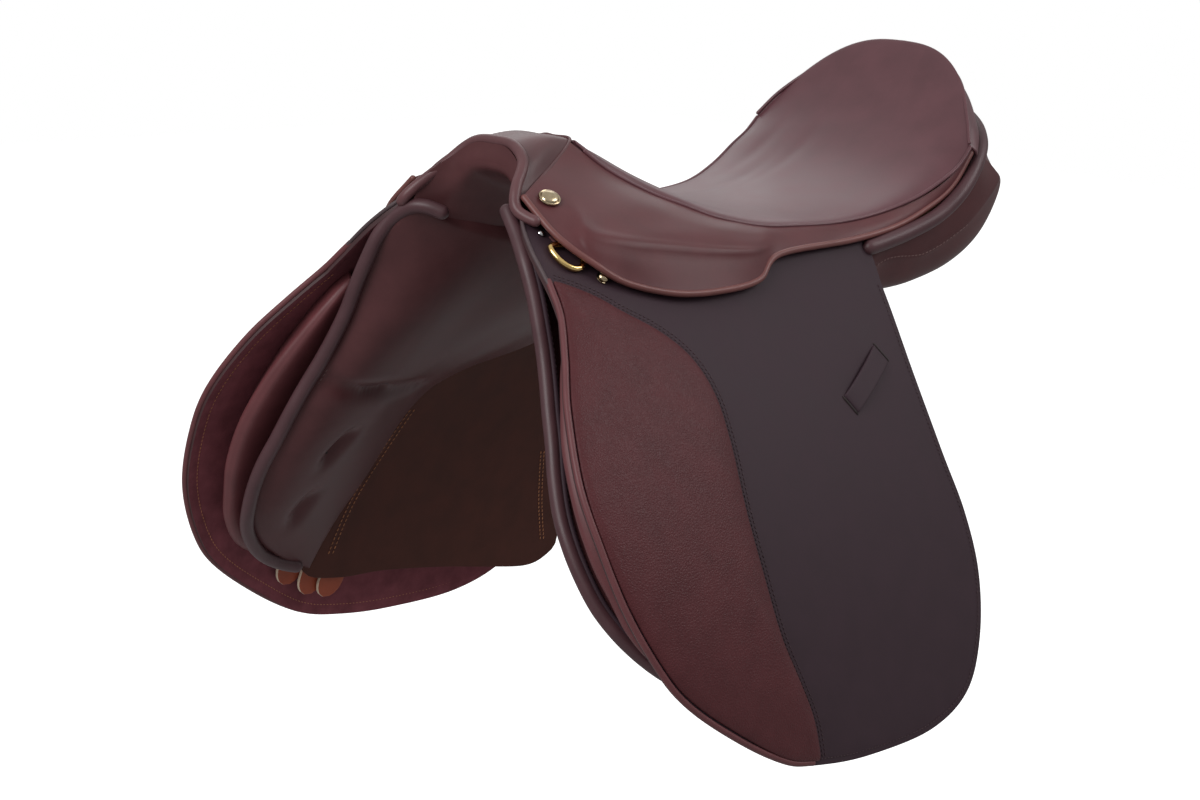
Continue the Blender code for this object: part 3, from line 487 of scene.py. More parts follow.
def weave_group():
    """Plain weave: height of the crossing threads, and mottle."""
    group, source, sink, place = start_group("plain weave", {"Threads per metre": 1400.0},
                                             ("Height", "Mottle"))
    size = math_node(group, "MULTIPLY", source["Threads per metre"], 0.16)
    waves = [node_of(group, "TexWave", {"Vector": place, "Scale": size, "Distortion": 0.4},
                     bands_direction=axis).outputs["Fac"] for axis in ("X", "Y")]
    feed(group, sink, {"Height": math_node(group, "MAXIMUM", *waves), "Mottle": noise(group, place, 90.0)})
    return group


def scratch_group():
    """Fine scratches and smudges of handled metal."""
    group, source, sink, place = start_group("handled metal", {"Scratches per metre": 900.0},
                                             ("Height", "Smudge"))
    long = node_of(group, "Mapping", {"Vector": place, "Scale": (1.0, 0.06, 1.0)}).outputs[0]
    feed(group, sink, {"Height": noise(group, long, source["Scratches per metre"], 4.0, 0.7),
                       "Smudge": noise(group, place, 160.0, 4.0, 0.6)})
    return group


GRAIN = leather_grain_group()
NAP = nap_group()
WEAVE = weave_group()
SCRATCH = scratch_group()


def mixed(tree, factor, dark, light):
    """Colour between two constants by a factor."""
    ramp = tree.nodes.new("ShaderNodeValToRGB")
    ramp.color_ramp.elements[0].position = 0.32
    ramp.color_ramp.elements[1].position = 0.68
    ramp.color_ramp.elements[0].color = (*dark, 1.0)
    ramp.color_ramp.elements[1].color = (*light, 1.0)
    tree.links.new(factor, ramp.inputs["Fac"])
    return ramp.outputs["Color"]


def finish_of(name, group, values, colours, roughness, bump, distance, factor="Mottle", **constants):
    """Principled finish driven by one of the groups."""
    material = bpy.data.materials.new(name)
    material.use_nodes = True
    tree = material.node_tree
    pattern = node_of(tree, "Group", values, node_tree=group).outputs
    relief = {"Strength": bump, "Distance": distance * MM, "Height": pattern["Height"]}
    low, high = roughness
    feed(tree, tree.nodes["Principled BSDF"], {
        "Base Color": mixed(tree, pattern[factor], *colours),
        "Roughness": math_node(tree, "MULTIPLY_ADD", pattern[factor], high - low, low),
        "Normal": node_of(tree, "Bump", relief).outputs["Normal"],
        **{label.replace("_", " "): value for label, value in constants.items()}})
    return material


def tinted(colour, spread_by):
    """Darker and lighter form of a colour."""
    return [tuple(c * k for c in colour) for k in (1 - spread_by, 1 + spread_by)]


def leather(name, colour, roughness, cells, pebble, wrinkle, bump, variety=0.10, shine=0.36):
    values = {"Cells per metre": cells, "Pebble": pebble, "Wrinkle": wrinkle}
    return finish_of(name, GRAIN, values, tinted(colour, variety), (roughness - 0.05, roughness + 0.07),
                     bump, 0.25, Specular_IOR_Level=shine)


def thread(name, colour, roughness=(0.55, 0.7)):
    return finish_of(name, WEAVE, {"Threads per metre": 3000.0}, tinted(colour, 0.2), roughness, 0.4, 0.1)


def metal(name, colour, variety, roughness, bump, scratches=900.0):
    return finish_of(name, SCRATCH, {"Scratches per metre": scratches}, tinted(colour, variety),
                     roughness, bump, 0.05, factor="Smudge", Metallic=1.0)


# name, colour, roughness, cells per metre, pebble, wrinkle and strength of the relief
SEAT = leather("seat leather", (0.100, 0.035, 0.043), 0.40, 1100.0, 0.18, 0.35, 0.22, shine=0.45)
SKIRT_SKIN = leather("skirt leather", (0.094, 0.027, 0.030), 0.42, 1000.0, 0.30, 0.35, 0.28, shine=0.28)
EDGE = leather("rolled edge leather", (0.150, 0.052, 0.048), 0.38, 1200.0, 0.15, 0.2, 0.18)
POMMEL_SKIN = leather("pommel leather", (0.088, 0.034, 0.037), 0.42, 1100.0, 0.2, 0.35, 0.22)
PIPING = leather("piping leather", (0.104, 0.042, 0.046), 0.40, 1200.0, 0.15, 0.2, 0.18)
KNEE = leather("pebbled knee leather", (0.080, 0.021, 0.024), 0.44, 480.0, 0.9, 0.2, 0.8, shine=0.16)
BLOCK_SKIN = leather("block leather", (0.118, 0.034, 0.038), 0.46, 900.0, 0.35, 0.25, 0.3)
FLAP_SKIN = leather("flap leather", (0.036, 0.019, 0.026), 0.60, 1500.0, 0.45, 0.1, 0.22, 0.07, 0.2)
PANEL = leather("panel leather", (0.080, 0.029, 0.031), 0.36, 1000.0, 0.2, 0.45, 0.22, shine=0.17)
ROLL_SKIN = leather("roll leather", (0.070, 0.030, 0.035), 0.42, 1100.0, 0.25, 0.35, 0.22)
SWEAT = leather("sweat flap leather", (0.066, 0.021, 0.015), 0.66, 1500.0, 0.4, 0.15, 0.2, 0.12, 0.18)
BILLET_SKIN = leather("bridle leather", (0.290, 0.062, 0.030), 0.5, 1300.0, 0.25, 0.2, 0.2, 0.12, 0.25)
CUT_EDGE = leather("cut leather edge", (0.62, 0.50, 0.38), 0.75, 1800.0, 0.5, 0.3, 0.5)
RIM_SKIN = leather("bound rim leather", (0.052, 0.023, 0.025), 0.52, 1300.0, 0.3, 0.2, 0.25)
WING_EDGE = leather("wing edge leather", (0.070, 0.046, 0.050), 0.5, 1300.0, 0.3, 0.2, 0.25)
# near-black painted shade, laid in the tufts' slits, the keeper's slits and the girth straps' holes
PAINTED_SHADE = leather("painted shade in slits and holes", (0.018, 0.010, 0.010), 0.6, 1800.0, 0.3, 0.1, 0.2)
INNER_SUEDE = finish_of("flap lining suede", NAP, {}, tinted((0.165, 0.048, 0.060), 0.22), (0.88, 0.98),
                        0.5, 0.3, Specular_IOR_Level=0.15, Sheen_Weight=0.12, Sheen_Roughness=0.5,
                        Sheen_Tint=(0.7, 0.25, 0.25, 1.0))
THREAD = thread("dark thread", (0.040, 0.016, 0.020), (0.6, 0.75))
TAN_THREAD = thread("tan thread", (0.40, 0.16, 0.070))
PINK_THREAD = thread("rose thread", (0.15, 0.075, 0.072))
WEBBING = finish_of("linen web", WEAVE, {"Threads per metre": 1400.0}, tinted((0.52, 0.45, 0.33), 0.12),
                    (0.8, 0.92), 0.8, 0.4)
BEECH = finish_of("laminated beech", SCRATCH, {"Scratches per metre": 260.0},
                  tinted((0.42, 0.25, 0.12), 0.25), (0.4, 0.55), 0.25, 0.3, factor="Height")
STEEL = metal("polished steel", (0.60, 0.60, 0.61), 0.06, (0.12, 0.26), 0.06)
SPRING = metal("oiled spring steel", (0.26, 0.26, 0.28), 0.1, (0.3, 0.45), 0.1, 500.0)
BRASS = metal("polished brass", (0.80, 0.56, 0.22), 0.07, (0.10, 0.24), 0.05)
AGED_BRASS = metal("aged brass", (0.50, 0.40, 0.26), 0.18, (0.14, 0.30), 0.08)


# Fitting pieces to the frame

# where the flap's bend is measured on the side sheet, and the skirt's ridge with its way down
HINGE_S = -85.0
HINGE_OUT = -4.0
LOBE_RIDGE = np.array((119.0, -100.0, 31.0))
LOBE_DOWN = np.array((13.8, -3.4, -27.7))
LOBE_BEND = (-0.05, 0.75)            # shares of the way down between which the lobe bends


def ride(piece, body, replaces=()):
    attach(piece, body)
    if replaces:
        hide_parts(*replaces)


def on_saddle(piece, slot, *replaces):
    ride(piece, "saddle", replaces)


def bend(piece, body, side, start, end, slot):
    """Bakes the piece's transform into its mesh."""
    start, end = (tuple(sided(point, side) * MM) for point in (start, end))
    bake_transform(piece)
    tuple(start)
    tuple(end)


def bend_with_flap(piece, label, side, slot):
    """Works out the ends of the flap's bend at its hinge, and bakes the piece's transform."""
    start = sheet(HINGE_S, HINGE_T - BEND_ABOVE, HINGE_OUT)
    end = sheet(HINGE_S, HINGE_T + BEND_BELOW, HINGE_OUT)
    bend(piece, "flap_%s_body" % label, side, start, end, slot)


def bend_with_lobe(piece, label, side):
    """Works out the ends of the skirt's bend at its ridge, and bakes the piece's transform."""
    start, end = (LOBE_RIDGE + LOBE_DOWN * share for share in LOBE_BEND)
    bend(piece, "skirt_lobe_%s_body" % label, side, start, end, "skirt_leather")


# Seat

SEAT_WELT = [(20, -149, 102), (38, -129, 82), (55, -102, 66), (70, -81, 57), (82, -57, 48),
             (92, -20, 41), (95, 20, 39), (98, 60, 39), (101, 103, 44), (108, 139, 55),
             (113, 168, 70), (113, 184, 80), (112, 196, 92)]
SEAT_CENTRE = [(0, -149, 104), (0, -122, 94), (0, -95, 80), (0, -72, 69), (0, -48, 59),
               (0, -10, 48), (0, 30, 43), (0, 72, 44), (0, 115, 53), (0, 155, 71),
               (0, 188, 98), (0, 214, 128), (0, 238, 163)]
SEAT_LAST = len(SEAT_WELT) - 1
SEAT_START = 0.12        # the cover starts just past its welt's first point
SEAT_CROWD = 1.35
SEAT_FULLNESS = 9.0
SEAT_FILL = 11.0
SEAT_ENDS = 0.12         # share of the length over which the filling thins out
SEAT_WELT_OFFSET = (1.1, 0.0, -0.5)
# soft creases: station, width across, length along, length across and depth
SEAT_CREASES = ((8.0, -0.55, 0.9, 0.07, 1.1), (8.8, -0.36, 1.0, 0.06, 0.9), (9.3, -0.70, 0.8, 0.06, 0.8))


def seat_surface(a, b):
    welt, centre = on_curve(SEAT_WELT, a), on_curve(SEAT_CENTRE, a)
    k = held(a / SEAT_LAST)
    rise = np.minimum(np.abs(b), 1) ** (2.0 + 0.7 * k ** 2)
    swell = SEAT_FULLNESS * b ** 6 * (1 - b ** 8) * (1 - 0.6 * k)
    for at, out, long, wide, deep in SEAT_CREASES:
        swell = swell - deep * hump(a - at, long) * hump(b - out - 0.05 * (a - at), wide)
    return np.stack([welt[..., 0] * b, centre[..., 1] + (welt[..., 1] - centre[..., 1]) * rise,
                     welt[..., 2] + (centre[..., 2] - welt[..., 2]) * (1 - rise) + swell], axis=-1)


def seat_place(u, v, w):
    a = SEAT_START + (SEAT_LAST - SEAT_START) * v
    b = crowded(2 * u - 1, SEAT_CROWD)
    ends = held(np.minimum(v, 1 - v) / SEAT_ENDS)
    depth = COVER_LEATHER + SEAT_FILL * (1 - np.abs(b) ** 5) * ends * (2 - ends)
    return seat_surface(a, b) + across(seat_surface, a, b) * ((1 - w) * depth)[:, None]


def make_seat():
    seat = block("seat_cushion", (44, 72), seat_place, 1.0, [SEAT], (0.0, 0.35, 0.75, 1.0), rounds=1)
    on_saddle(seat, "seat_leather", "seat_cover", "seat_foam")
    line = smooth_line(SEAT_WELT, 14)[4:] + np.array(SEAT_WELT_OFFSET)
    for label, side in SIDES:
        on_saddle(cord("seat_welt_" + label, line, WELT_RADIUS, SEAT, side), "seat_leather")


# Skirts. Each row holds the welt, the upper skirt, the ridge and the lower edge

SKIRT = [((20, -149, 102), (30, -174, 92), (44, -203, 82), (58, -233, 71)),
         ((38, -129, 82), (56, -158, 75), (76, -198, 62), (89, -228, 46)),
         ((55, -102, 66), (79, -140, 62), (98, -205, 48), (111, -210, 27)),
         ((70, -81, 57), (92, -118, 52), (111, -178, 41), (121, -186, 13)),
         ((82, -57, 48), (101, -92, 45), (116, -140, 36), (131, -145, 4)),
         ((88, -38, 44), (106, -66, 40), (119, -100, 31), (133, -100, 3)),
         ((92, -20, 41), (108, -36, 36), (121, -56, 28), (129, -58, 7)),
         ((94, 5, 39.5), (103, -4, 35), (111, -14, 29), (118, -25, 22)),
         ((98, 60, 39), (104, 60, 35.5), (109, 60, 31), (113, 60, 26)),
         ((101, 103, 44), (106, 105, 40.5), (110, 107, 37), (112, 109, 32)),
         ((108, 139, 55), (111, 140, 51), (113, 141, 47), (113.5, 142, 43)),
         ((113, 168, 70), (115, 170, 67), (115.5, 171, 63.5), (115, 173, 60)),
         ((112.5, 196, 92), (113, 198, 90.5), (113, 199, 89), (112.5, 199.5, 87.5))]
SKIRT_GAP = 2.8
RIDGE = 2.0 / 3.0
RIDGE_RISE = 2.1
RIDGE_WIDTH = 0.045
RIDGE_RUN = (0.8, 6.6)   # stations of the welt between which the ridge stands up
EDGE_RADIUS = 2.5
EDGE_OFFSET = (-0.9, 0.0, 0.5)


def skirt_surface(a, h):
    """Point of the skirt: a is the station of the welt, h runs from there to the lower edge."""
    first = on_net(SKIRT, a, np.zeros_like(a))
    second = on_net(SKIRT, a, np.ones_like(a))
    start = np.minimum(SKIRT_GAP / np.linalg.norm(second - first, axis=-1), 0.8)
    return on_net(SKIRT, a, np.maximum(3 * h, start))


def skirt_place(u, v, w):
    a, h = SEAT_LAST * v, u
    inward = across(skirt_surface, a, np.clip(h, 0.03, 0.97))
    ridge = RIDGE_RISE * hump(h - RIDGE, RIDGE_WIDTH) * held(a - RIDGE_RUN[0]) * held(RIDGE_RUN[1] - a)
    return skirt_surface(a, h) + inward * (SKIRT_LEATHER * (1 - w) - ridge)[:, None]


def make_skirt(label, side):
    skirt = block("skirt_whole_" + label, (28, 110), skirt_place, side, [SKIRT_SKIN], edge=1.0)
    bend_with_lobe(skirt, label, side)
    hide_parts("skirt_" + label, "skirt_lobe_" + label)
    places = np.linspace(0.0, SEAT_LAST, 150)
    line = skirt_surface(places, np.ones_like(places)) + np.array(EDGE_OFFSET)
    bend_with_lobe(cord("skirt_edge_" + label, line, EDGE_RADIUS, EDGE, side), label, side)


# Pommel cover with its seam, and the piping of the arch from the off side to the near side

ARCH = [(-66, -237, 51), (-60, -240, 56), (-54, -234, 65), (-44, -218, 80), (-30, -209, 95),
        (-17, -207, 101.5), (0, -207, 103), (20, -208, 101.5), (38, -215, 92), (50, -232, 77),
        (55, -238, 67), (60, -239, 61), (68, -237, 57), (77, -233, 54)]
POMMEL = [((0, -203, 104.5), (0, -176, 107.5), (0, -148, 103)),
          ((18, -204, 104), (18, -176, 106.5), (16, -148, 102)),
          ((35, -210, 95), (33, -191, 96), (29.5, -173, 91)),
          ((46, -223, 82), (45, -213, 82), (43.5, -202, 80.5)),
          ((52, -234.5, 67.5), (53, -233, 68.5), (55, -231, 69))]
SEAM_RADIUS = 1.3
SEAM_OFFSET = (0.0, 0.6, 0.4)


def mirrored(points):
    """The points on the other side, in the same order."""
    return [(-x, y, z) for x, y, z in points]


def whole_width(rows):
    """Rows from the off side over the centre to the near side."""
    return [mirrored(row) for row in rows[:0:-1]] + list(rows)


def cover_place(rows, thickness):
    """How a cover is laid: over the whole width of its rows, with its leather below."""
    rows = whole_width(rows)

    def surface(a, b):
        return on_net(rows, a, b)

    def place(u, v, w):
        a, b = u * (len(rows) - 1), v * 2
        return surface(a, b) - across(surface, a, b) * (thickness * (1 - w))[:, None]

    return place


def make_pommel():
    cover = block("pommel_leather_cover", (64, 16), cover_place(POMMEL, COVER_LEATHER), 1.0,
                  [POMMEL_SKIN], edge=0.8)
    on_saddle(cover, "pommel_leather", "pommel_cover")
    piping = cord("arch_cord", smooth_line(ARCH, 12), PIPING_RADIUS, PIPING, sides=20)
    on_saddle(piping, "pommel_leather", "arch_piping")
    seam = smooth_line([row[2] for row in whole_width(POMMEL)], 12)[4:-4] + np.array(SEAM_OFFSET)
    on_saddle(tube("pommel_seam", seam, SEAM_RADIUS, POMMEL_SKIN), "pommel_leather")


# Lining of the channel and the arch

LINING_ROWS = [
    [(0, -211, 99.5), (18, -212, 98), (34, -216, 88), (48, -229, 73), (55, -236, 52)],
    [(0, -213, 84), (18, -213, 81), (31, -214, 69), (43, -217, 56), (50, -219, 38)],
    [(0, -200, 77), (17, -200, 73), (28, -200, 61), (38, -201, 47), (46, -202, 32)],
    [(0, -172, 67), (16, -172, 63), (27, -175, 52), (34, -178, 42), (39, -178, 34)],
    [(0, -145, 54), (16, -145, 51), (27, -145, 41), (33, -145, 33), (36, -145, 31)],
    [(0, -105, 34), (17, -105, 32), (26, -105, 25), (31, -105, 21), (34, -105, 21)],
    [(0, -60, 13), (17, -60, 12), (26, -60, 10.5), (31, -60, 10.5), (33, -60, 12)],
    [(0, -10, 0), (17, -10, 0.5), (26, -10, 2.5), (31, -10, 4), (33, -10, 5)],
    [(0, 40, 0), (18, 40, 0.3), (27, 40, 1.2), (32, 40, 2.6), (34, 40, 3.4)],
    [(0, 95, 2), (18, 95, 2), (28, 95, 2.6), (34, 95, 3.6), (38, 95, 3.8)],
    [(0, 150, 8), (18, 150, 7.6), (28, 150, 8), (34, 150, 8.8), (38, 150, 9.2)],
    [(0, 205, 33), (18, 205, 30), (28, 205, 27), (34, 205, 25.5), (38, 205, 25)],
    [(0, 240, 80), (18, 240, 77), (28, 240, 75), (34, 240, 74), (38, 240, 73)],
    [(0, 252, 108), (18, 252, 106), (28, 251, 102), (34, 250, 100), (38, 249, 99)],
]
LINING_RIPPLE = 0.9      # depth of the soft folds under the arch


def lining_place(u, v, w):
    rows = [mirrored(row[:0:-1]) + list(row) for row in LINING_ROWS]
    a, b = v * (len(rows) - 1), u * (len(rows[0]) - 1)
    skin = on_net(rows, a, b)
    folds = np.sin(skin[:, 1] / 9.0 + 0.06 * skin[:, 0]) * hump(a - 2.0, 1.8) * np.abs(skin[:, 0]) / 30.0
    skin[:, 2] += LINING_RIPPLE * folds + LINING_LEATHER * (1 - w)
    return skin


def make_lining():
    lining = block("channel_leather", (48, 110), lining_place, 1.0, [PANEL], edge=0.6)
    on_saddle(lining, "panel_leather", "channel_lining")


# Cantle facing and the rolled edge behind it

FACING = [((0, 241, 160), (0, 250, 147), (0, 253, 132)),
          ((38, 238, 153), (38, 247, 142), (38, 250, 128)),
          ((72, 227, 137), (72, 237, 127), (70, 241, 117)),
          ((98, 207, 113), (100, 216, 107), (97, 224, 101)),
          ((113, 194, 92), (116, 199, 88), (115, 203, 84))]
REAR_ROLL = [(112, 76, 18.5), (114, 97, 22.5), (116, 127, 30), (118.5, 156, 41), (118, 182, 57.5),
             (110, 208, 77.5), (96, 228, 93.5), (71, 245, 106), (37, 254, 116), (0, 257, 120)]
FACING_LEATHER = 2.0
CANTLE_WELT_OFFSET = (0.0, -0.2, 1.0)


def make_rear():
    facing = block("cantle_leather", (72, 10), cover_place(FACING, FACING_LEATHER), 1.0, [SEAT], edge=0.8)
    on_saddle(facing, "seat_leather", "cantle_facing")
    line = smooth_line(mirrored(REAR_ROLL[:-1]) + REAR_ROLL[::-1], 10)
    roll = cord("rear_edge_roll", line, REAR_ROLL_RADIUS, ROLL_SKIN, sides=24)
    on_saddle(roll, "roll_leather", "rear_roll")
    rim = smooth_line([row[0] for row in whole_width(FACING)], 12) + np.array(CANTLE_WELT_OFFSET)
    on_saddle(cord("cantle_welt", rim, WELT_RADIUS, SEAT), "seat_leather")


# Panel

BEARING = [
    [(42, 261, 80), (56, 268, 77), (72, 266, 75), (87, 254, 72), (98, 243, 70)],
    [(40, 264, 56), (56, 273, 52), (73, 273, 52), (90, 264, 55), (102, 248, 62)],
    [(37, 242, 26), (56, 248, 15), (76, 247, 14), (96, 238, 23), (109, 224, 46)],
    [(35, 205, 4), (55, 206, -7), (78, 204, -9), (100, 199, 2), (111, 195, 27)],
    [(34, 150, -5), (55, 150, -17), (78, 150, -18), (98, 150, -13), (109, 150, 8)],
    [(34, 95, -8), (55, 95, -21), (78, 95, -23), (98, 95, -18), (108.5, 95, 3)],
    [(34, 40, -8), (57, 40, -24), (82, 40, -31), (104, 40, -35), sheet(40, 62, 33)],
    [(34, -15, -5), (62, -15, -28), (95, -15, -47), (122, -15, -64), sheet(-14, 113, 31)],
    [(35, -75, 5), (66, -85, -25), (100, -92, -57), (132, -95, -88), sheet(-86, 140, 31)],
    [(36, -125, 15), (68, -140, -24), sheet(-152, 86, 60), sheet(-152, 130, 52), sheet(-120, 174, 31)],
    [(38, -168, 26), sheet(-188, 12, 60), sheet(-200, 92, 66), sheet(-200, 175, 62), sheet(-151, 258, 31)],
    [(43, -204, 38), sheet(-224, 24, 56), sheet(-241, 112, 66), sheet(-247, 200, 64), sheet(-196, 311, 32)],
    [(47, -230, 50), sheet(-245.5, 40, 42), sheet(-263, 118, 54), sheet(-273, 197, 57),
     sheet(-233, 295, 43)],
]
BACKING = [
    [(42, 257, 90), (56, 262, 88), (72, 258, 85), (87, 246, 80), (97, 236, 77)],
    [(40, 252, 97), (56, 254, 95), (73, 248, 91), (89, 236, 83), (101, 226, 79)],
    [(37, 243, 72), (55, 243, 70), (75, 238, 66), (95, 226, 62), (111, 208, 70)],
    [(36, 207, 24), (55, 207, 22), (78, 202, 24), (98, 192, 34), (114.5, 184, 55)],
    [(35, 150, 8), (55, 150, 9), (78, 150, 12), (96, 150, 17), (114.5, 150, 37)],
    [(35, 95, 3), (55, 95, 3), (78, 95, 4), (96, 95, 5), (111.5, 95, 20)],
    [(35, 40, 2), (57, 40, 1), (80, 40, -1), (100, 40, -9), sheet(40, 50, 30)],
    [(35, -15, 5), (60, -15, 3), (82, -15, -5), sheet(-15, 45, 30.5), sheet(-15, 106, 28)],
    [(36, -75, 15), (60, -78, 11), (78, -84, 0), sheet(-90, 62, 30), sheet(-87, 134, 28)],
    [(37, -125, 26), (58, -130, 18), sheet(-143, 40, 31), sheet(-146, 100, 28), sheet(-122, 168, 28)],
    [(39, -168, 38), sheet(-177, -10, 31), sheet(-190, 60, 29), sheet(-194, 150, 28), sheet(-153, 252, 28)],
    [(43, -202, 50), sheet(-220, 8, 33), sheet(-235, 92, 41), sheet(-241, 180, 43), sheet(-197, 308, 28)],
    [(48, -228, 60), sheet(-244, 32, 34), sheet(-261, 106, 46), sheet(-272, 190, 48), sheet(-232, 290, 36)],
]
# creases drawn in by the tufts: points along each, with its depth and width, then the slit of each tuft
CREASES = (([(124, -256, -85), (116.6, -240, -94.4), (119.4, -204.6, -99.9), (131, -172, -103),
             (143.6, -140, -105.5)], 6.5, 7.5),
           ([(159, -227, -161), (152.5, -223, -151), (146.5, -216, -141), (143, -208, -134)], 6.0, 8.0),
           ([(195, -226, -214), (188, -223.5, -205), (182.4, -220, -195.5), (179, -214, -190)], 5.5, 8.0))
SLITS = ([(117.7, -222, -98.8), (119.5, -206, -100.6), (120.9, -191, -99.2)],
         [(155.6, -223.3, -155.8), (150, -221.5, -147.5), (146.5, -216.4, -141.7)],
         [(191.9, -223.5, -209.6), (187, -223, -202.5), (182.4, -220.1, -195.5)])
SLIT_DEPTH = 3.0
SLIT_WIDTH = 2.6
SLIT_RADIUS = 0.9
SLIT_SEARCH = ((9.0, 11.8), (1.2, 3.8))      # rows and columns of the nets where the slits lie
PAD_LAST = len(BEARING) - 1
PAD_COLUMNS = 4
PAD_BULGE = 1.6          # how far the pad's sides swell out
PAD_PUFF = 3.0           # fullness of the front arm
PUFF_RISE = (8.6, 2.4)   # row where it starts, and how many rows it takes to build up
PUFF_FALL = (10.8, 1.2)  # row where it starts to thin out, and how many rows that takes
PAD_MIDDLE = (6.0, 2.0)  # row and column in the middle of the nets
HEART_SHIFT = (0.03, 0.06)           # how far towards them the sides' hearts lie
NORMAL_INSET = 0.05      # how far inside the nets the normals are taken
PAD_START = 8.0          # row of the nets where the front arm starts
PAD_SHARE = 0.42         # share of the faces that lie behind it
HUG_START = 10.0         # row from which the pad is drawn on to its front roll
HUG_SINK = 0.8
FACE_IN = 1.5            # how far inside the roll's middle the pad's two faces meet it
BACK_IN = -4.0
ROLL_OUT = np.array((0.97, 0.0, 0.2))


def off_line(points, line):
    """Distance of each point from a smooth line, and how near it is to the line's middle."""
    line = smooth_line(line, 8)
    best = np.full(len(points), 1e9)
    share = np.zeros(len(points))
    for k, place in enumerate(line):
        away = np.linalg.norm(points - place, axis=1)
        share = np.where(away < best, k / (len(line) - 1), share)
        best = np.minimum(best, away)
    return best, held(4 * share * (1 - share)) ** 0.5


def tuft_pull(points):
    """How far each point of the bearing face is drawn in."""
    pull = np.zeros(len(points))
    drawn = [(line, deep, wide, 0.25) for line, deep, wide in CREASES]
    drawn += [(line, SLIT_DEPTH, SLIT_WIDTH, 0.4) for line in SLITS]
    for line, deep, wide, ends in drawn:
        away, middle = off_line(points, line)
        pull += deep * hump(away, wide) * (ends + (1 - ends) * middle)
    return pull


def pad_rows(v):
    """Share of the way along the pad to its net's rows, with more of them in the front arm."""
    front = PAD_START + (v - PAD_SHARE) / (1 - PAD_SHARE) * (PAD_LAST - PAD_START)
    return np.where(v < PAD_SHARE, v / PAD_SHARE * PAD_START, front)


def beside_roll(b, inwards):
    """Points along the roll, moved towards the pad and in to the horse."""
    places = np.interp(b, range(len(ROLL_PLACES)), ROLL_PLACES)
    ahead = on_curve(ROLL, places + 0.1) - on_curve(ROLL, places - 0.1)
    towards = unit_of(np.cross(ROLL_OUT, ahead))
    return on_curve(ROLL, places) + towards * (ROLL_RADIUS - HUG_SINK) - ROLL_OUT * inwards


def hugging(net, a, b, inwards):
    """Points on one of the pad's nets, with its front rows drawn on to the roll."""
    last = len(net) - 1.0
    near = eased((a - HUG_START) / (last - HUG_START))
    end = on_net(net, last + 0 * a, b)
    return on_net(net, a, b) + (beside_roll(b, inwards) - end) * near[..., None]


def bearing(a, b):
    """Face of the pad that lies on the horse."""
    return hugging(BEARING, a, b, FACE_IN)


def puff_at(a):
    """Fullness of the bearing face over the front arm of the pad."""
    built = PAD_PUFF * eased((a - PUFF_RISE[0]) / PUFF_RISE[1])
    return built * (1 - held((a - PUFF_FALL[0]) / PUFF_FALL[1]) ** 4)


def pad_place(u, v, w):
    a, b = pad_rows(v), PAD_COLUMNS * u
    front = bearing(a, b)
    pull = (w > 0.999) * tuft_pull(front) - puff_at(a) * w
    skin = between(front, hugging(BACKING, a, b, BACK_IN), w)
    inner = [np.clip(k, NORMAL_INSET, last - NORMAL_INSET) for k, last in ((a, PAD_LAST), (b, PAD_COLUMNS))]
    skin = skin + across(bearing, *inner) * pull[:, None]
    heart = [k + (middle - k) * by for k, middle, by in zip((a, b), PAD_MIDDLE, HEART_SHIFT)]
    out = unit_of(skin - between(on_net(BEARING, *heart), on_net(BACKING, *heart), w), 1e-6)
    return skin + out * (PAD_BULGE * 4 * w * (1 - w))[:, None]


ROLL = [(45, -236, 58), (61, -241, 45), (77.5, -247, 27), (89, -249, 6.5), (98, -251, -14),
        (105, -252.5, -32), (113, -256, -51), (122, -261, -71), (133, -267, -93), (142, -272.5, -113),
        (153, -277, -136), (165, -279, -156), (177, -277.5, -176), (189, -272.5, -196), (201, -264, -213),
        (211, -251.5, -228), (219, -236, -241), (223.5, -219, -250.5), (225, -203, -256.5),
        (225, -188, -260)]
# the roll's top: free on the near side, turned in under the arch on the off side
ROLL_TOP = {"left": [(43, -236, 63)] + ROLL[1:3],
            "right": [(34, -219, 45), (45, -228, 50), (54, -233, 50.5), (63, -236, 47), (73, -240, 39),
                      (81, -245, 26)]}
# where along the roll each column of the pad's front border lies
ROLL_PLACES = (0.4, 5.0, 8.5, 12.5, 18.8)
ROLL_WELT_OFFSET = (4.6, 3.4, 1.2)
ROLL_WELT_RADIUS = 2.2
ROLL_WELT_OUT = np.array((0.8, 0.6, 0.1))
GUSSET_SEAM = (2.9, 5.6)
GUSSET_SHARE = (0.86, 0.04)          # share of the bearing face in it at its end, and its growth a row
GUSSET_OUT = np.array((1.0, 0.15, 0.0))
ROLL_SEAM = (0.1, 2.2)
ROLL_SEAM_ROWS = (11.86, 11.8)       # row of the seam, and the row its normals are taken at
SWEAT_FLAP = [(-200, 34), (-206, 150), (-196, 250), (-178, 330), (-165, 338), (-131, 341), (-91, 339),
              (-30, 342), (20, 347), (62, 350), (82, 343), (92, 327), (78, 290), (56, 241), (54, 150),
              (55, 60), (53, 38)]
SWEAT_DEPTH = 22.0
SWEAT_LEATHER = 2.6
SWEAT_HEART = (-70.0, 190.0)
SWEAT_SEAMS = (("front", [(-119, 181), (-134, 224), (-150, 270), (-160, 318)], (6.0, 10.5)),
               ("rear", [(56, 236), (70, 285), (84, 326)], (-7.0, -10.5)))


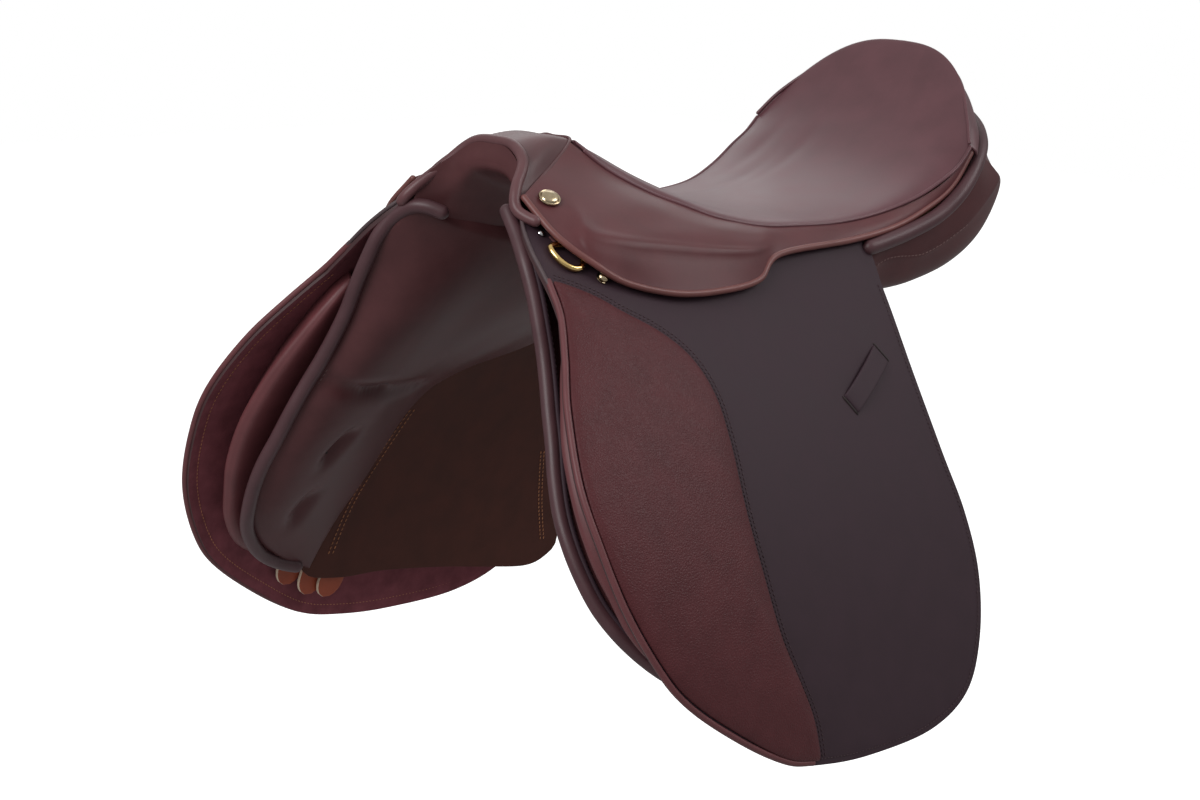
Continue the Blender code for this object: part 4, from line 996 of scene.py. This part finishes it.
def make_panel(label, side):
    pad = block("panel_cushion_" + label, (84, 132), pad_place, side, [PANEL], (0.0, 0.3, 0.7, 1.0),
                rounds=1)
    on_saddle(pad, "panel_leather", "panel_pad_" + label)
    line = smooth_line(ROLL_TOP[label] + ROLL[3:], 10)
    roll = cord("front_edge_roll_" + label, line, ROLL_RADIUS, ROLL_SKIN, side, sides=24)
    on_saddle(roll, "roll_leather", "panel_roll_" + label)
    beside = smooth_line(ROLL, 10)[6:] + np.array(ROLL_WELT_OFFSET)
    on_saddle(cord("front_roll_welt_" + label, beside, ROLL_WELT_RADIUS, FLAP_SKIN, side), "roll_leather")
    outs = np.tile(ROLL_WELT_OUT, (len(beside), 1))
    row = beside + outs * ROLL_WELT_RADIUS * 0.9
    on_saddle(stitch_row("front_roll_stitches_" + label, row, outs, THREAD, side), "roll_leather")
    places = np.linspace(*GUSSET_SEAM, 60)
    border = np.full_like(places, PAD_COLUMNS)
    low = GUSSET_SHARE[0] + GUSSET_SHARE[1] * (GUSSET_SEAM[1] - places)
    row = between(on_net(BEARING, places, border), on_net(BACKING, places, border), low)
    outs = np.tile(GUSSET_OUT, (len(places), 1))
    row = row + outs * (PAD_BULGE + 0.3)
    on_saddle(stitch_row("gusset_stitches_" + label, row, outs, PINK_THREAD, side), "panel_leather")
    places = np.linspace(*ROLL_SEAM, 60)
    seam, level = (np.full_like(places, row) for row in ROLL_SEAM_ROWS)
    outs = -across(bearing, level, places)
    row = bearing(seam, places) + outs * 0.2
    on_saddle(stitch_row("roll_seam_" + label, row, outs, PINK_THREAD, side, width=0.8), "panel_leather")
    for n, line in enumerate(SLITS):
        # dark cord of painted shade along the bottom of each tuft's slit
        tuft_shade = cord("pad_tuft_%d_%s" % (n + 1, label), slit_line(line), SLIT_RADIUS, PAINTED_SHADE, side)
        on_saddle(tuft_shade, "panel_leather")


def slit_line(line):
    """A tuft's slit laid on the bottom of its crease."""
    a, b = (k.ravel() for k in np.meshgrid(*(np.linspace(*span, 220) for span in SLIT_SEARCH)))
    points = bearing(a, b)
    chosen = [np.argmin(np.linalg.norm(points - place, axis=1)) for place in smooth_line(line, 4)]
    here = points[chosen]
    sunk = tuft_pull(here) - puff_at(a[chosen]) - SLIT_RADIUS * 0.4
    return here + across(bearing, a[chosen], b[chosen]) * sunk[:, None]


def make_sweat_flap(label, side):
    border = np.concatenate([smooth_line(SWEAT_FLAP[:4], 8), smooth_line(SWEAT_FLAP[3:], 8)[1:]])

    def depth(r, w):
        return SWEAT_DEPTH + SWEAT_LEATHER * (1 - w)

    flap = plate("sweat_leather_" + label, border, SWEAT_HEART, depth, side, [SWEAT], 44, edge=0.8)
    on_saddle(flap, "sweat_leather", "sweat_flap_" + label)
    for end, line, shifts in SWEAT_SEAMS:
        for name, shift in zip((end, end + "_second"), shifts):
            seam = smooth_line(line) + np.array((shift, 0.0))
            path, outs = sheet_path(seam, SWEAT_DEPTH + SWEAT_LEATHER + 0.1)
            row = stitch_row("sweat_%s_stitches_%s" % (name, label), path, -outs, TAN_THREAD, side,
                             width=1.0)
            on_saddle(row, "sweat_leather")


# Flap, knee panel, knee block, keeper

FLAP_LOW = [(-257, 39), (-273, 72), (-292, 112), (-306, 163), (-305, 206), (-295, 255),
            (-272, 300), (-246, 328), (-197, 358), (-155, 378), (-113, 384), (-62, 384), (7, 376),
            (54, 355), (79, 318), (92, 270), (91, 223), (82, 173), (77, 110), (79, 39)]
FLAP_OVER = [(82, 18), (84, -4), (20, -4), (-28, -3), (-60, 1), (-105, 2), (-150, 2), (-184, 2),
             (-198, -8), (-206, -22), (-213, -37), (-220, -50), (-228, -55), (-236, -52), (-241, -43),
             (-245, -33), (-249, -17), (-251, 0), (-253, 19)]
FLAP_HEART = (-140.0, 150.0)
KNEE_FRONT = [(-248, 9), (-250, 20), (-255, 39), (-270, 72), (-289, 112), (-303, 163), (-302.5, 206),
              (-292, 254), (-269.5, 298), (-244.5, 325), (-196, 355), (-154.5, 375), (-122, 380.5)]
KNEE_REAR = [(-122, 379), (-126, 352), (-136, 326), (-149, 291), (-155, 250), (-157, 198), (-151, 145),
             (-149, 110), (-157, 81), (-175, 59), (-202, 39), (-216, 27), (-230, 18), (-247, 9)]
KNEE_HEART = (-215.0, 200.0)
KNEE_CROWN = 6.0
KNEE_LIFT = 1.4
# ridge sewn along the flap's front edge, from the wing down, and the wing's rim
RIDGE_LINE = [(-250, 6), (-252, 16), (-257.5, 39)] + FLAP_LOW[1:9] + [(-155, 376.5), (-127, 381)]
RIDGE_RADIUS = 2.4
WING_RIM = [(-228, -55), (-236, -52), (-241, -43), (-245, -33), (-249, -17), (-251, 0), (-252, 12)]
WING_RIM_RADIUS = 1.5
# t, front edge on the flap, front edge towards the horse, rear edge and depth of the knee block
KNEE_BLOCK = [(40, -240, -246, -228, 19), (60, -246, -258, -226, 25), (92, -253, -272, -224, 31),
              (130, -260, -286, -224, 36), (175, -266, -293, -225, 38), (215, -264, -291, -225, 38),
              (245, -253, -283, -222, 36), (270, -245, -275, -217, 34), (294, -232, -260, -208, 30),
              (314, -216, -240, -196, 22)]
KEEPER = ((46.0, 93.5), (-8.0, 130.0))
KEEPER_WIDTH = 17.0
KEEPER_LIFT = 3.2
KEEPER_LEATHER = 2.0
KEEPER_SLIT = 1.12 * KEEPER_WIDTH


def flap_depth(r, w):
    band = 0.5 + 0.5 * np.tanh((r - 0.965) / 0.006)
    return FLAP_LEATHER * (1 - w) + band * (0.9 * (1 - w) + 0.25 * w)


def make_flap(label, side):
    low = smooth_line(FLAP_LOW, 8)
    border = np.concatenate([low, np.array(FLAP_OVER, float)])
    flap = plate("flap_leather_" + label, border, FLAP_HEART, flap_depth, side,
                 [FLAP_SKIN, INNER_SUEDE, RIM_SKIN], 64, edge=1.2)
    bend_with_flap(flap, label, side, "flap_leather")
    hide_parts("flap_" + label, "flap_top_" + label)
    for name, inset, depth, yarn, way in (("outer", 4.5, -0.05, THREAD, 1),
                                          ("inner", 8.5, FLAP_LEATHER + 0.15, TAN_THREAD, -1)):
        path, outs = sheet_path(inset_ring(border, FLAP_HEART, inset)[:len(low)], depth)
        row = stitch_row("flap_%s_stitches_%s" % (name, label), path, outs * way, yarn, side,
                         length=2.4, width=0.7)
        bend_with_flap(row, label, side, "flap_leather")


def knee_depth(r, w):
    crown = KNEE_CROWN * held(1 - r ** 3.2) ** 0.75
    over = KNEE_LIFT + 1.2 * np.sqrt(held((1 - r) / 0.05))
    return -(over + crown) * w - 0.3 * (1 - w)


def make_knee_pad(label, side):
    border = np.concatenate([smooth_line(KNEE_FRONT, 8), smooth_line(KNEE_REAR, 8)[1:-1]])
    pad = plate("knee_panel_" + label, border, KNEE_HEART, knee_depth, side, [KNEE], 60, crowd=1.5,
                layers=(0.0, 0.5, 1.0), rounds=1)
    bend_with_flap(pad, label, side, "grained_leather")
    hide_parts("knee_pad_" + label)
    rear = smooth_line(KNEE_REAR, 10)
    for name, gap in (("first", 3.4), ("second", 6.4)):
        path, outs = sheet_path(rear + beside_line(np.gradient(rear, axis=0)) * gap, -0.1)
        row = stitch_row("knee_seam_%s_%s" % (name, label), path, outs, THREAD, side,
                         length=2.4, width=0.8)
        bend_with_flap(row, label, side, "flap_leather")
    rim, _ = sheet_path(smooth_line(WING_RIM, 10), 0.6)
    on_saddle(cord("wing_rim_" + label, rim, WING_RIM_RADIUS, WING_EDGE, side), "flap_leather")
    path, _ = sheet_path(smooth_line(RIDGE_LINE, 10), FLAP_LEATHER / 2 - 1.6)
    ridge = cord("flap_ridge_" + label, path, RIDGE_RADIUS, BLOCK_SKIN, side, sides=16)
    bend_with_flap(ridge, label, side, "grained_leather")


def block_place(u, v, w):
    """Knee block: u runs down it, v across it from its rear to its front, and w in to the horse."""
    rows = np.array(KNEE_BLOCK, float)
    end, cross = crowded(2 * u - 1, 1.6), crowded(2 * v - 1, 1.5)
    t, foot, front, rear, depth = on_curve(rows, (end + 1) / 2 * (len(rows) - 1)).T
    base = FLAP_LEATHER + 0.6
    full = np.sqrt(np.clip(1 - np.abs(end) ** 7, 0.02, 1))
    lean = foot + (front - foot) * held(w / 0.83) ** 1.1
    pinch = 1 - 0.16 * held((w - 0.8) / 0.2) ** 2 - 0.06 * (1 - w) ** 2
    crown = held(1 - np.abs(cross) ** 4) ** 0.5
    d = base + (depth - base) * w * (1 - 0.17 * (1 - crown) * w) * (0.55 + 0.45 * full)
    return sheet((lean + rear) / 2 - cross * (rear - lean) / 2 * pinch * full, t, d)


def make_knee_block(label, side):
    piece = block("knee_block_cushion_" + label, (60, 24), block_place, side, [BLOCK_SKIN],
                  (0.0, 0.2, 0.5, 0.8, 1.0), rounds=1)
    ride(piece, "flap_%s_body" % label, ("knee_block_" + label,))


def make_keeper(label, side):
    start = np.array(KEEPER[0])
    length = np.linalg.norm(np.array(KEEPER[1]) - start)
    along = (np.array(KEEPER[1]) - start) / length
    beside = np.array((-along[1], along[0]))
    body = "flap_%s_body" % label

    def place(u, v, w):
        s, t = (start + along * (u * length)[:, None] + beside * ((v - 0.5) * KEEPER_WIDTH)[:, None]).T
        lift = KEEPER_LIFT * held(np.sin(math.pi * held(u))) ** 0.6
        return sheet(s, t, 1.2 - lift - KEEPER_LEATHER * w)

    strap = block("keeper_strap_" + label, (40, 10), place, side, [FLAP_SKIN], edge=0.6)
    ride(strap, body, ("keeper_" + label,))
    for name, u in (("upper", -0.02), ("lower", 1.02)):
        half = KEEPER_SLIT / 2 * np.linspace(-1, 1, 12)
        path, _ = sheet_path(start + along * u * length + beside * half[:, None], -0.1)
        # dark tube of painted shade along each slit that the keeper passes through
        ride(tube("keeper_slit_%s_%s" % (name, label), path, 1.0, PAINTED_SHADE, side), body)


# Girth straps: s at the top, s at the tip and t at the tip of each

BILLETS = ((-150.0, -180.0, 346.0), (-116.0, -160.0, 355.0), (-82.0, -144.0, 357.0))
BILLET_TOP = 33.0
BILLET_DEPTH = 9.2
BILLET_STEP = 4.3
BILLET_WIDTH = 25.0
BILLET_THICK = 3.0
HOLE_FIRST = 28.0
HOLE_STEP = 25.0
HOLE_COUNT = 7
HOLE_RADIUS = 2.4
# each strap hole is a dark disc of painted shade, raised just above the strap
HOLE = [(HOLE_RADIUS, 0.0), (HOLE_RADIUS, BILLET_THICK + 0.3), (HOLE_RADIUS * 0.7, BILLET_THICK + 0.4)]


def make_billets(label, side):
    for k, (top, tip, end) in enumerate(BILLETS):
        depth = BILLET_DEPTH + BILLET_STEP * k
        name = "%d_%s" % (k + 1, label)
        drop = end - BILLET_TOP

        def place(u, v, w):
            f = v * (1.0 + 2.0 / drop)
            half = BILLET_WIDTH / 2 * np.sqrt(held(1 - 0.93 * held((v - 0.955) / 0.045) ** 2))
            s = top + (tip - top) * f + (2 * u - 1) * half
            return sheet(s, BILLET_TOP + drop * f, depth + BILLET_THICK * (1 - w))

        strap = block("girth_strap_" + name, (10, 120), place, side,
                      [BILLET_SKIN, BILLET_SKIN, CUT_EDGE], edge=0.4)
        ride(strap, "billet_%s_body" % name, ("billet_" + name,))
        for n in range(HOLE_COUNT):
            t = end - HOLE_FIRST - HOLE_STEP * n
            s = top + (tip - top) * (t - BILLET_TOP) / drop
            # painted shade that stands in for the hole
            hole = turned("strap_hole_%d_%d_%s" % (k + 1, n + 1, label), HOLE,
                          sheet(s, t, depth + BILLET_THICK + 0.15), outward(s, t), PAINTED_SHADE, side,
                          segments=12, stretch=0.7)
            ride(hole, "billet_%s_body" % name)


# Hardware: turned pieces as (radius, height) points from their foot up

NAIL_AT = (np.array([0.42]), np.array([0.80]))
NAIL = [(7.0, 0.0), (7.8, 0.5), (8.0, 1.2), (7.7, 1.9), (7.1, 2.1), (6.6, 1.8)]
NAIL += [(6.4 * math.cos(a), 1.9 + 2.3 * math.sin(a)) for a in np.linspace(0.1, 1.5, 9)]
STUD_AT = (-203.0, 11.0)
STUD = [(4.2, 0.0), (4.6, 0.5), (4.4, 1.1), (3.2, 1.5), (3.2, 2.2), (4.0, 2.8), (3.6, 3.8), (2.2, 4.6),
        (0.8, 4.9)]
RIVET_AT = (-232.0, -33.0)
RIVET = [(2.6, 0.0), (2.8, 0.6), (2.2, 1.6), (0.8, 2.1)]
DEE_TOP = (-222.0, -20.0)
DEE_DEPTH = -2.6
DEE_WIDTH = 25.0
DEE_DROP = 22.0
DEE_WIRE = 2.3


def make_hardware(label, side):
    out = -across(skirt_surface, *NAIL_AT)[0]
    nail = turned("skirt_nail_" + label, NAIL, skirt_surface(*NAIL_AT)[0] + out * 0.6, out, AGED_BRASS,
                  side, segments=40, stretch=1.1)
    on_saddle(nail, "polished_brass", "saddle_nail_" + label)
    s0, t0 = DEE_TOP
    half = DEE_WIDTH / 2
    line = [(s0 - half + 3, t0), (s0 - half + 0.6, t0 + 1.6)]
    for a in np.linspace(math.pi, 0, 25):
        line.append((s0 + half * math.cos(a), t0 + 5 + (DEE_DROP - 5) * math.sin(a)))
    line += [(s0 + half - 0.6, t0 + 1.6), (s0 + half - 3, t0)]
    path, _ = sheet_path(line, DEE_DEPTH)
    dee = tube("dee_ring_" + label, path, DEE_WIRE, BRASS, side, closed=True, sides=20)
    ride(dee, "dee_%s_body" % label, ("dee_" + label,))
    stud = turned("flap_stud_" + label, STUD, sheet(*STUD_AT, -0.3), outward(*STUD_AT), AGED_BRASS, side)
    on_saddle(stud, "polished_brass", "stud_" + label)
    rivet = turned("chape_rivet_" + label, RIVET, sheet(*RIVET_AT, -1.0), outward(*RIVET_AT), STEEL, side,
                   segments=24)
    on_saddle(rivet, "polished_brass")


# Pieces kept from the frame: how their names start, and their finish

CARRIED = {"tree_spring": SPRING, "tree": BEECH, "head_plate": SPRING, "web_front": WEBBING,
           "billet_web": WEBBING, "point_pocket": PANEL, "stirrup_bar": STEEL, "bar_catch": STEEL,
           "bar_rivet": STEEL, "dee_chape": POMMEL_SKIN}


def dress_frame():
    """Gives each piece kept from the frame its own finish; the longest start of a name counts."""
    for name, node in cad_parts.items():
        for start in sorted(CARRIED, key=len, reverse=True):
            if name.startswith(start):
                node.data.materials.clear()
                node.data.materials.append(CARRIED[start])
                break


# Camera, lights and floor

CAMERA_PLACE = (1.8436, -1.9451, 0.3896)
CAMERA_RIGHT = (0.7033, 0.7096, 0.0427)
CAMERA_UP = (-0.1603, 0.0997, 0.982)
FLOOR_Z = -0.9
FLOOR_TONE = 0.40
SKY_LIGHT = (0.14, 0.62)      # strength from below and from above
BACKDROP = 1.0
LENS = 105.64
SENSOR = 36.0
SKY_SPAN = (-0.35, 0.75)      # heights between which the sky brightens
# name, place, size and power of each soft box
SOFT_BOXES = (("soft box behind", (-1.7, 1.3, 1.4), (2.0, 1.5), 12.0),
              ("soft box front", (0.3, -2.6, 1.6), (1.6, 1.4), 56.0),
              ("soft box near side", (1.6, 1.5, 1.6), (1.6, 1.2), 24.0))


def add_camera():
    right = Vector(CAMERA_RIGHT).normalized()
    back = right.cross(Vector(CAMERA_UP)).normalized()
    turn = Matrix((right, back.cross(right), back)).transposed().to_4x4()
    turn.translation = Vector(CAMERA_PLACE)
    data = bpy.data.cameras.new("photo camera")
    data.lens = LENS
    data.sensor_width = SENSOR
    camera = linked("photo camera", data)
    camera.matrix_world = turn
    bpy.context.scene.camera = camera


def add_light(name, place, size, power):
    data = bpy.data.lights.new(name, "AREA")
    data.shape = "RECTANGLE"
    data.size, data.size_y = size
    data.energy = power
    light = linked(name, data)
    light.location = place
    light.rotation_euler = Vector(place).to_track_quat("Z", "Y").to_euler()


def camera_ray(tree):
    """1 where the camera sees the backdrop itself, 0 where it only lights the piece."""
    return tree.nodes.new("ShaderNodeLightPath").outputs["Is Camera Ray"]


def add_floor():
    bpy.ops.object.select_all(action="DESELECT")
    bpy.ops.mesh.primitive_plane_add(size=14.0, location=(0, 0, FLOOR_Z))
    floor = bpy.context.object
    floor.name = "studio_floor"
    white = bpy.data.materials.new("pale floor")
    white.use_nodes = True
    tree = white.node_tree
    feed(tree, tree.nodes["Principled BSDF"], {
        "Base Color": (FLOOR_TONE, FLOOR_TONE, FLOOR_TONE, 1.0), "Roughness": 0.9,
        "Emission Color": (1.0, 1.0, 1.0, 1.0),
        "Emission Strength": math_node(tree, "MULTIPLY", camera_ray(tree), BACKDROP)})
    floor.data.materials.append(white)


def add_sky():
    world = bpy.data.worlds.new("studio")
    world.use_nodes = True
    tree = world.node_tree
    place = tree.nodes.new("ShaderNodeTexCoord").outputs["Generated"]
    high = node_of(tree, "SeparateXYZ", {0: place}).outputs["Z"]
    tone = node_of(tree, "MapRange", {"Value": high, "From Min": SKY_SPAN[0], "From Max": SKY_SPAN[1],
                                      "To Min": SKY_LIGHT[0], "To Max": SKY_LIGHT[1]}).outputs["Result"]
    gap = math_node(tree, "SUBTRACT", BACKDROP, tone)
    glow = math_node(tree, "MULTIPLY_ADD", camera_ray(tree), gap, tone)
    feed(tree, tree.nodes["Background"], {"Color": (1.0, 1.0, 1.0, 1.0), "Strength": glow})
    bpy.context.scene.world = world
    bpy.context.scene.view_settings.view_transform = "Standard"


def main():
    make_seat()
    make_pommel()
    make_lining()
    make_rear()
    for label, side in SIDES:
        for make in (make_skirt, make_panel, make_sweat_flap, make_flap, make_knee_pad, make_knee_block,
                     make_keeper, make_billets, make_hardware):
            make(label, side)
    dress_frame()
    add_camera()
    add_floor()
    add_sky()
    for box in SOFT_BOXES:
        add_light(*box)


main()
